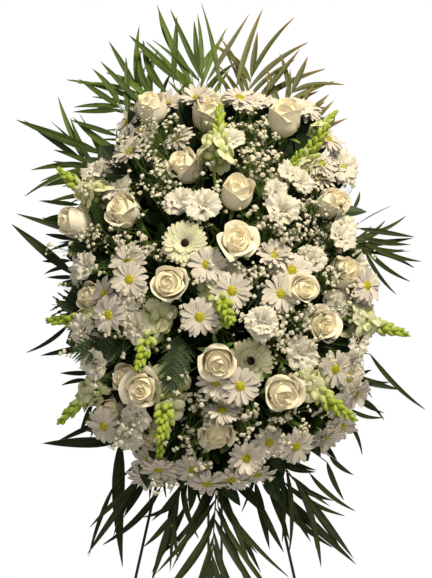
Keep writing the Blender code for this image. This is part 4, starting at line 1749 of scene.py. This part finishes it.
@dataclass
class BabysBreath:
    """Baby's breath: small double blossoms in clouds, on fine branching twigs."""

    clear: list[tuple[Bloom, float, float]]
    blossom: float = 0.0040
    twig: float = 0.00042
    sprig: float = 0.0060
    forks: int = 5
    together: int = 4
    sprinkled: int = 70
    sprinkled_each: int = 13
    sprinkled_reach: float = 0.032
    fullness: float = 1.9
    seed: int = 21
    blossoms: list[Spot] = field(default_factory=list)
    twigs: list[Line] = field(default_factory=list)

    def covers(self, at: Vector) -> bool:
        """Says whether a blossom would sit in a large flower or before its face.

        Args:
            at: the blossom's place.

        Returns:
            Whether it would.
        """
        for bloom, length, radius in self.clear:
            offset = at - (bloom.tip - bloom.facing * length / 2)
            ahead = offset.dot(bloom.facing)
            aside = (offset - bloom.facing * ahead).length
            if ahead > -length / 2 and aside < radius * (0.95 if ahead < length / 2 else 0.8):
                return True
        return False

    def cloud(self, centre: Vector, out: Vector, reach: float, count: int, rng: random.Random) -> None:
        """Scatters one cloud and its twigs.

        Args:
            centre: its middle.
            out: the way out of the dome there.
            reach: its radius.
            count: how many blossoms it has.
            rng: the draw.
        """
        root = centre - out * (0.07 + reach)
        inner = centre - out * reach * 0.7
        branches = [inner + jitter(rng.gauss, 0, reach * 0.35) for _ in range(self.forks)]
        self.twigs += [([root, root.lerp(fork, 0.5), fork], [self.twig * 1.6] * 3) for fork in branches]
        offset = Vector((0, 0, 0))
        for number in range(count):
            step = jitter(rng.gauss, 0, 1)
            offset = offset + step * (self.sprig / reach) if number % self.together else step * 0.5
            if offset.length > 1:
                offset.normalize()
            at = centre + offset * reach
            fork = branches[number % self.forks]
            look = (offset * 0.8 + out * 1.2 + jitter(rng.uniform, -0.4, 0.4)).normalized()
            size = self.blossom * rng.uniform(0.40, 1.12)
            spot = Spot(at, look, rng.uniform(0, 6), (size, size, size * 0.85), rng.randrange(4))
            if not self.covers(at):
                bend = fork.lerp(at, 0.6) + out * 0.004
                self.twigs.append(([fork, bend, at], [self.twig, self.twig * 0.8, self.twig * 0.7]))
                self.blossoms.append(spot)

    def build(self, garden: Garden) -> None:
        """Builds the clouds, and the small ones that are sprinkled between them.

        Args:
            garden: where they grow.
        """
        rng = random.Random(self.seed)
        for across, up, out, reach, count in BREATH_CLOUDS:
            way = dome_out(across / 100, up / 100)
            self.cloud(LEAN.near(across, up, out), way, reach / 100, round(count * self.fullness), rng)
        for number in range(self.sprinkled):
            share, turn = math.sqrt((number + 0.5) / self.sprinkled), number * GOLDEN_ANGLE + 0.7
            across, up = oval_place(share, turn, 0.35)
            centre = LEAN.place(across, up, dome_depth(across, up) * 0.93)
            self.cloud(centre, dome_out(across, up), self.sprinkled_reach, self.sprinkled_each, rng)
        heads = Piece("breath_blossoms", "daisy_petal", Finishes.BREATH)
        garden.plants.plant(heads, [Puff().shape(i) for i in range(4)], self.blossoms, self.seed, 0.1)
        garden.twines.twine(Piece("breath_twigs", "daisy_petal", Finishes.TWIG), self.twigs, 3)


@dataclass
class Easel:
    """The wire easel and the foam holder, which keep their solids and take their finishes."""

    solids: tuple[tuple[Finish, str], ...] = (
        (Finishes.WIRE, "front_leg_left front_leg_right spreader_wire holder_shelf hinge_wire rear_leg"),
        (Finishes.RUBBER, "foot_tip_left foot_tip_right foot_tip_rear"),
        (Finishes.TRAY, "holder_tray holder_cage"),
        (Finishes.FOAM, "foam_lower foam_upper"),
        (Finishes.TIE, "tie_lower tie_upper"),
    )

    def dress(self) -> None:
        """Gives every solid that stays its finish."""
        for finish, names in self.solids:
            for name in names.split():
                held = frame["nodes"][name].data.materials
                held.clear()
                held.append(finish.material())
                LOG.info("%s: %s", name, finish.name)


@dataclass
class Studio:
    """A plain pale floor, soft light and the camera."""

    camera_at: tuple[float, float, float] = (0.0, -2.6, 1.29)
    focal_length: float = 114.25
    shift_across: float = 1 / 432
    floor_size: float = 3.2
    floor_sides: int = 96
    lit: tuple[float, float, float] = (0, -0.1, 1.25)
    room_colour: Colour = (1.0, 0.95, 0.80)
    room_light: float = 0.21
    lights: tuple[tuple[str, tuple[float, float, float], float, float, Colour], ...] = (
        ("key", (1.1, -2.0, 3.6), 0.8, 114, (1.0, 0.88, 0.65)),
        ("front", (-0.2, -2.9, 2.5), 1.2, 14, (1.0, 0.91, 0.72)),
        ("back", (-1.3, 2.4, 2.3), 1.4, 40, (1.0, 0.95, 0.85)),
    )

    def light(
        self, name: str, at: tuple[float, float, float], size: float, power: float, colour: Colour
    ) -> None:
        """Adds a soft square light that looks at the flowers.

        Args:
            name: its name.
            at: its place.
            size: its side.
            power: its power in watts.
            colour: its colour.
        """
        lamp = bpy.data.lights.new(name, "AREA")
        lamp.size, lamp.energy, lamp.color = size, power, colour
        item = shown(name, lamp)
        item.location = at
        item.rotation_euler = (Vector(self.lit) - Vector(at)).to_track_quat("-Z", "Y").to_euler()

    def build(self) -> None:
        """Sets up the floor, the lights, the surroundings and the camera."""
        rim = [i / self.floor_sides * FULL_TURN for i in range(self.floor_sides)]
        points = [(math.cos(turn) * self.floor_size, math.sin(turn) * self.floor_size, 0) for turn in rim]
        mesh = bpy.data.meshes.new("floor")
        mesh.from_pydata(points, [], [list(range(self.floor_sides))])
        mesh.materials.append(Finishes.FLOOR.material())
        shown("floor", mesh)
        for row in self.lights:
            self.light(*row)
        self.surround()
        eye = bpy.data.cameras.new("camera")
        eye.sensor_fit, eye.sensor_width, eye.lens = "HORIZONTAL", 36.0, self.focal_length
        eye.shift_x = self.shift_across
        item = shown("camera", eye)
        item.location = self.camera_at
        item.rotation_euler = (math.pi / 2, 0, 0)
        bpy.context.scene.camera = item
        bpy.context.scene.view_settings.view_transform = "Standard"

    def surround(self) -> None:
        """Makes the room white to look at and gives it a softer light."""
        world = bpy.data.worlds.new("studio")
        bpy.context.scene.world = world
        world.use_nodes = True
        graph = Graph(world.node_tree)
        seen = graph.add("ShaderNodeBackground", {0: (1, 1, 1, 1)})
        cast = graph.add("ShaderNodeBackground", {0: (*self.room_colour, 1), 1: self.room_light})
        ray = graph.add("ShaderNodeLightPath", None, "Is Camera Ray")
        graph.close(graph.add("ShaderNodeMixShader", {0: ray, 1: cast, 2: seen}), "ShaderNodeOutputWorld")


# ---------------------------------------------------------------- where things stand

# across, up and out in centimetres, yaw and pitch in degrees, size, shape
MORE_ROSES = [
    (-1, 35.5, 14.5, -4, 50, 1.12, 0), (15.4, -1.2, 26, 32, -8, 0.85, 2), (-16, -14.5, 17.5, -45, 0, 0.85, 1),
    (-22.5, 0, 15.5, -55, 8, 0.9, 1), (-18.5, -20.5, 14, -35, -25, 0.85, 1),
    (-11, -24.5, 15.5, -20, -30, 0.9, 1), (-20.5, -5, 16, -35, -10, 0.85, 4),
]
MORE_CARNATIONS = [
    (-6.5, 15, 24, -20, 30), (-18, 19.5, 16, -44, 38), (15, -11.5, 21, 25, -15), (22, -2, 15.5, 49, -7),
    (3, 26.5, 22, 9, 30, 0.8), (16.5, 5, 22.5, 20, 15, 0.85), (-20, -10, 16.5, -47, -24),
    (-22, 23.5, 13.5, -49, 43, 0.9, 1), (23.5, 25.5, 10, 40, 15, 1.05, 2), (13.2, 21, 20.5, 30, 35, 0.75, 2),
    (15.5, 19, 19.5, 40, 10, 0.75, 1), (10.5, 17.5, 21.5, 10, 25, 0.65, 2), (22.5, 10, 18.5, 50, 21, 0.95, 1),
    (-23, 4.5, 18, -60, 9, 0.85, 1), (-23.5, -6.5, 17.5, -60, -12, 0.85, 2),
    (-13.5, -7.5, 23, -35, -15, 0.85, 2), (-15.5, -4, 22, -30, -10, 0.8, 2), (-21, -13, 18, -48, -30, 0.9, 1),
    (-13.5, -22, 18.5, -30, -44, 0.9, 1), (-15, -25.5, 16, -39, -48, 0.85, 2),
    (19, -25.5, 12.5, 46, -50, 0.85, 1), (25.5, -8.5, 13.5, 60, -20, 0.75, 2),
    (24.3, -12, 13.5, 62, -30, 0.9, 1), (22, -19.5, 13, 58, -50, 0.9, 2), (26.3, 6.5, 11.5, 75, 10, 0.8, 1),
    (-1, 33.5, 9, 0, 85, 0.9, 1), (23.6, 13, 14.5, 60, 25, 0.85, 1), (5.5, 36.5, 13, 15, 55, 1, 1),
    (-2.5, 39.5, 8, -8, 59, 0.9, 2), (8.8, 38.5, 8.5, 20, 65, 0.9, 2), (1.8, 38.5, 9.5, 6, 75, 0.95, 1),
    (16, 36, 11.5, 35, 50, 0.8, 2),
]
MORE_DAISIES = [
    (-1.3, 2.7, 26.5, 0, 4), (2.8, -1.8, 26.5, 8, -7), (10, 5, 24, 10, 40), (-14.7, 4.3, 21.5, -20, 8),
    (-14.4, 1, 22.5, -15, 0), (-2.6, -6.1, 26, -15, -10), (0.2, -16.6, 24, -5, -20),
    (4.1, -17.3, 24.5, 5, -15), (12.9, 2.4, 24, 15, 10), (-19.2, -0.7, 18.5, -70, 0), (11.5, 2.8, 23, 32, 4),
    (2.2, 1.1, 25, 7, 0), (1.2, -20.4, 21, 4, 60), (13.7, -26.4, 15, 25, -50), (5.3, -28.4, 16.5, 10, -35),
    (-7.5, -31, 12.5, -15, -90), (-3.8, -30.3, 14, -11, -68), (7.2, -31.2, 13, 45, -95),
    (19.4, -24.5, 12, 75, -60), (23.3, -14.2, 13, 45, -10), (23.5, 24.5, 9, 40, 10), (-7, 27.7, 17, -60, 48),
    (-8.6, 37, 9, -10, 50), (-16, 33, 10.5, -70, 30), (-13.2, 31, 12, -35, 20), (4.5, 37, 12.5, 13, 56),
    (-3.4, 37, 12, -20, 50), (16.5, 36, 9, 30, 50), (-24, 5, 13.5, -75, 9), (-20.5, 23.5, 12, -47, 60),
    (18.5, 21.5, 14, 45, 50), (-1.3, -32.7, 13, -4, -88), (2.8, -32, 13.5, 9, -85),
    (-12, -31.5, 10.5, -32, -80), (25.5, -2.5, 12.5, 60, -8), (19, 24, 14, 40, 35, 0.9), (11, -2, 25, 30, -8),
    (-18, -5, 22, -44, -14), (24.2, -17, 12, 60, -55), (21.8, -22.8, 11.5, 50, -66),
    (-9.5, -30.5, 14.5, -24, -90), (26.5, 1.5, 15.5, 54, 1), (-15, 25, 18, -39, 45),
    (20.5, 29.5, 11.5, 50, 45), (20.5, -13.5, 17.5, 42, -30), (-19, -23, 15, -45, -45),
]
MORE_SPIKES = [
    (-12.7, -15.2, 25.5, -25, -60, 1.1), (3, -8.2, 30.5, 20, -40, 1.2), (-9.2, -26.5, 24, -12, -62, 1.15),
    (20, 30, 18, 50, 50, 1), (15, 24.5, 20.5, 42, 42, 0.85), (23.6, -22.6, 20, 66, -40, 1.1),
]
# across and up at the foot and at the tip in centimetres, width in millimetres, shape
STRAY_LEAFLETS = [
    (-25.5, 5.5, -37.2, 15.5, 18, 0), (-20.5, 28, -37, 35.5, 17, 0), (-23.5, 25.5, -35.5, 23.5, 8, 3),
    (26, 14, 36.5, 13, 10, 0), (26, 12.5, 35.5, 14.5, 8, 3), (27.5, -9, 35, -20, 9, 3),
    (25.5, -12.8, 30.6, -15.7, 8, 3), (24.5, -16.5, 31, -18, 8, 4), (24.5, -16, 28.3, -20.8, 8, 3),
    (22.5, -20, 27.9, -24.7, 8, 4), (24, -18.8, 28.6, -22.1, 8, 3), (-21.5, -17.5, -24, -23, 9, 0),
    (-20, -18, -22, -23.6, 9, 0), (-22, -12.4, -27.7, -12, 9, 0), (-22.5, -13.6, -27.6, -13.1, 8, 1),
    (9, -31.5, 24.5, -45.5, 17, 0), (14.5, -32, 22, -43, 11, 0), (-16.5, -24.5, -18, -45.5, 24, 5),
    (-17.5, -32, -23, -43.5, 8, 1), (-17, -24.5, -30.5, -24.5, 19, 0), (-26, -3.5, -32, -10, 8, 4),
    (-2.5, 42.5, -8.5, 57.5, 11, 0), (-4.5, 44, -14, 55.5, 14, 4), (-2.5, 42.5, -2, 56.5, 9, 1),
    (-1.5, 42, 6.5, 56.5, 9, 0), (-6.5, 42, -16.2, 52.2, 16, 0), (9.5, 40, 16, 49.5, 9, 0),
    (16.5, 36, 20.5, 39, 10, 0), (20, 32.5, 23.5, 36, 10, 1), (25, 17.5, 27.5, 21.5, 7, 1),
    (26.5, 12.5, 34, 10, 9, 3), (27, 11, 34, 8.5, 8, 3), (6.5, -33.5, 12, -43.5, 13, 0),
    (1.5, -34.5, 8, -47, 12, 0), (0.5, -35.5, 6, -50, 10, 0), (-12, -31, -16, -37.5, 12, 0),
    (-5, -35.5, -11, -47, 12, 0), (19.5, -28, 21.5, -35, 10, 1), (20, -27, 23.5, -31, 9, 1),
    (-26, 8, -31.5, 8.5, 9, 0), (-24.7, 18.4, -32.3, 19.9, 9, 0), (-26.5, 16.2, -32.1, 17.3, 9, 1),
    (-26.5, 15.2, -32.1, 15.8, 9, 2), (-25.5, 12, -31, 13.6, 10, 0), (-26.5, 6.8, -31.1, 7.3, 8, 1),
    (-25, 5, -30.5, 5.5, 8, 0), (26, 15, 32, 19.5, 2, 4), (-18, 31.5, -27, 35.5, 11, 0),
    (-17, 28, -27.5, 34.5, 14, 2), (-17.5, 36.5, -26.5, 37, 10, 0), (-17.5, 37, -26, 39.5, 10, 1),
    (-17.5, 37, -25.5, 43.5, 12, 0), (-17.5, 37.5, -21.5, 46.5, 12, 1), (-16, 34.5, -16.7, 48, 12, 0),
    (-14.5, 35.5, -14.5, 46.5, 11, 2), (-12.5, 38, -12, 47.5, 10, 0), (-22, 24.5, -31.7, 24, 9, 1),
    (-22, 25, -30, 27.5, 9, 0), (-21.5, 25.5, -29.3, 31, 10, 1), (-4, 41, -12.5, 57.5, 12, 2),
    (1, 41, -1.5, 59, 11, 5), (4, 41, 7.5, 58, 11, 2), (27, 11.5, 36, 6, 10, 3), (27, 10.5, 33, 3, 9, 3),
    (27, 12, 35.5, 10.5, 9, 1), (27, 10, 30.5, 1.5, 8, 3), (13, 33, 18.6, 42.5, 12, 0),
    (13.5, 32.5, 21.3, 40.5, 13, 0), (14, 31.5, 23.2, 38.3, 12, 1), (14.5, 30.5, 24.6, 35.8, 11, 0),
    (10, -32.5, 17, -44.5, 12, 3), (12, -31.5, 20.5, -39.5, 10, 3), (-9.5, -32.5, -16, -44, 12, 4),
    (16.5, -30, 22.5, -38, 9, 3), (-9, 40, -17.2, 49, 15, 4), (-11.3, 39, -17.8, 47.5, 14, 4),
    (-7.7, 42, -7.2, 56, 12, 0), (-14, 38, -21.5, 47, 12, 0), (-12, 38, -17.5, 47.5, 12, 3),
    (11, 27, 17.5, 33.5, 17, 0), (13, 25.5, 19, 32, 17, 1), (9, 29, 14.5, 36.5, 17, 2),
    (-19, 23, -14.5, 31, 17, 0), (-12, 28.5, -19, 30.5, 17, 1), (16, -21.5, 21.5, -27.5, 17, 0),
    (9, -30.5, 13, -41.5, 14, 0), (11, -30.5, 16, -42, 14, 5), (7, -31.5, 9.5, -43, 14, 0),
    (5, -32, 11, -38, 14, 2), (-6, -32, -9.5, -41, 13, 5), (-20, 17, -25.5, 21, 14, 0),
]
# across, up, out, yaw, pitch, size, turn about its rib in degrees
SHOWN_FERNS = [
    (-3.5, -3, 22, -10, 75, 0.55, 0), (7.5, 4, 20, 20, -70, 0.6, 0), (-12.5, -8.5, 16.5, -75, -10, 0.6, 0),
    (-5.5, -7.5, 22.5, -40, -75, 0.6, 0), (-6, 6, 19, 20, 80, 0.5, 0),
]
# across and up of the middles of the leaves that close the gaps, in centimetres
BACKING = [
    (1.3, 34), (3.8, 33), (8.3, 33.2), (-3.6, 32.9), (-5.8, 35), (1.8, 31.5), (-9.5, 32), (-6.2, 33),
    (15, 31), (12.5, 31), (-18.5, 26), (-14.5, 26), (-20, 23.5), (19, 21), (19, 15.5), (-12, 25.5),
    (-13.5, 19.1), (-16.5, -9.2), (6.5, -23.9), (13, 28.1), (20.5, 11), (20.5, 13), (-20.5, 8.3), (6, 8.6),
    (6.1, 1.1), (-7, 1.1), (-6.7, -2.2), (23, -3.7), (15.8, -4.6), (18.8, -11.1), (16, -18), (18, -19.8),
    (20, 22.8), (13.1, -22.6), (9.5, -28), (18.8, 1.9), (-22, 15.6), (2, -28), (17, 29.5),
]
# across, up, out, radius in centimetres, blossoms
BREATH_CLOUDS = [
    (-9.5, 26.5, 18.5, 4.5, 44), (-8.5, 19.5, 20.5, 4, 36), (5.5, 29, 18.5, 4.5, 40), (7.5, 20, 21, 4.5, 40),
    (-17, 8, 18.5, 3.5, 26), (-11, 6.5, 21, 3.5, 26), (10, 9.5, 23, 5, 44), (20, 9, 16, 4, 34),
    (12, -4, 22.5, 5, 44), (9, -9, 23, 3.5, 26), (16, -7, 21, 4, 34), (18.5, 2.5, 19, 4, 34),
    (8, 25.5, 19, 3.5, 26), (-12.5, -5, 20.5, 4, 34), (-7.5, -16.5, 20.5, 3.5, 30), (-14, -22, 16.5, 2.5, 16),
    (4.5, -22.5, 19.5, 3.5, 26), (12, -21.5, 18.5, 4, 34), (-4, -25, 17, 3.5, 24), (17, 14, 16, 4, 30),
    (24, 2, 13, 3.5, 26), (-22, 10, 14, 3, 22), (1, 15, 24, 3, 22), (14, -15, 20, 3, 22), (6.5, 1, 24, 3, 22),
    (13.5, 8.5, 22.5, 3, 22), (-2.5, -20.5, 20.5, 3.5, 26), (18.5, 16.5, 15.5, 3.5, 24),
]


def species() -> list[Species]:
    """Builds the shapes of every kind of flower and says where each stands.

    Returns:
        The kinds.
    """
    forms = (form for form in RoseForm for _ in range(2))
    roses = [RoseHead(form).shape(seed) for seed, form in enumerate(forms, 1)]
    rings = ((26, 1.0, 0.18), (24, 0.90, 0.34), (18, 0.5, 0.6))
    gerbera = RayHead("gerbera", 0.039, 0.0075, 0.005, rings, 0.0100, 60, 0.0010, 0.08, -0.28, 4, 0.04)
    flat, raised = ((17, 1.0, 0.05), (15, 0.92, 0.28)), ((16, 1.0, 0.42), (14, 0.92, 0.72))
    daisy = RayHead("daisy", 0.035, 0.0086, 0.0045, flat, 0.0086, 30, 0.0013, 0.10, -0.42, 3, 0.14)
    tight = RayHead("daisy_cupped", 0.033, 0.0086, 0.005, raised, 0.0086, 30, 0.0013, 0.10, -0.5, 3, 0.14)
    daisies = [head.shape(seed) for seed, head in enumerate((daisy, daisy, tight, daisy), 1)]
    loose = CarnationHead(((4, 0.2, 0.70, 4.0), (5, 0.70, 0.90, 3.6), (6, 1.35, 1.08, 3.0)), 0.58)
    carnations = [head.shape(seed) for seed, head in enumerate((CarnationHead(), loose, loose))]
    spikes = [SnapdragonSpike().shape(seed) for seed in range(3)]
    return [
        Species(
            "rose", roses, Finishes.ROSE, 0.066, 0.031, "rose_petal", 0.0028, MORE_ROSES,
            (0, 1, 2, 1, 0, 3, 4, 3, 0, 1, 5, 2, 3, 5, 2),
        ),
        Species("gerbera", [gerbera.shape(1)], Finishes.GERBERA, 0.018, 0.039, "gerbera_petal", 0.0026),
        Species(
            "carnation", carnations, Finishes.CARNATION, 0.056, 0.030, "carnation_petal", 0.0022,
            MORE_CARNATIONS, (2, 1, 0),
        ),
        Species("daisy", daisies, Finishes.DAISY, 0.010, 0.034, "daisy_petal", 0.0016, MORE_DAISIES),
        Species(
            "snapdragon", spikes, Finishes.SNAPDRAGON, 0.115, 0.019, "snapdragon_floret", 0.0024, MORE_SPIKES,
            spread=1.0,
        ),
    ]


def main() -> None:
    """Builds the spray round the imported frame, piece by piece."""
    logging.basicConfig(level=logging.INFO, format="%(message)s")
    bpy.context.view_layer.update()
    garden = Garden()
    Easel().dress()
    kept_clear: list[tuple[Bloom, float, float]] = []
    for number, kind in enumerate(species()):
        kind.build(garden, number + 1)
        if kind.name in ("rose", "gerbera"):
            kept_clear += [(one, kind.length * one.size, kind.radius * one.size) for one in kind.blooms]
    for part in (Palms(), Greens(), BabysBreath(kept_clear)):
        part.build(garden)
    Studio().build()


if __name__ == "__main__":
    main()
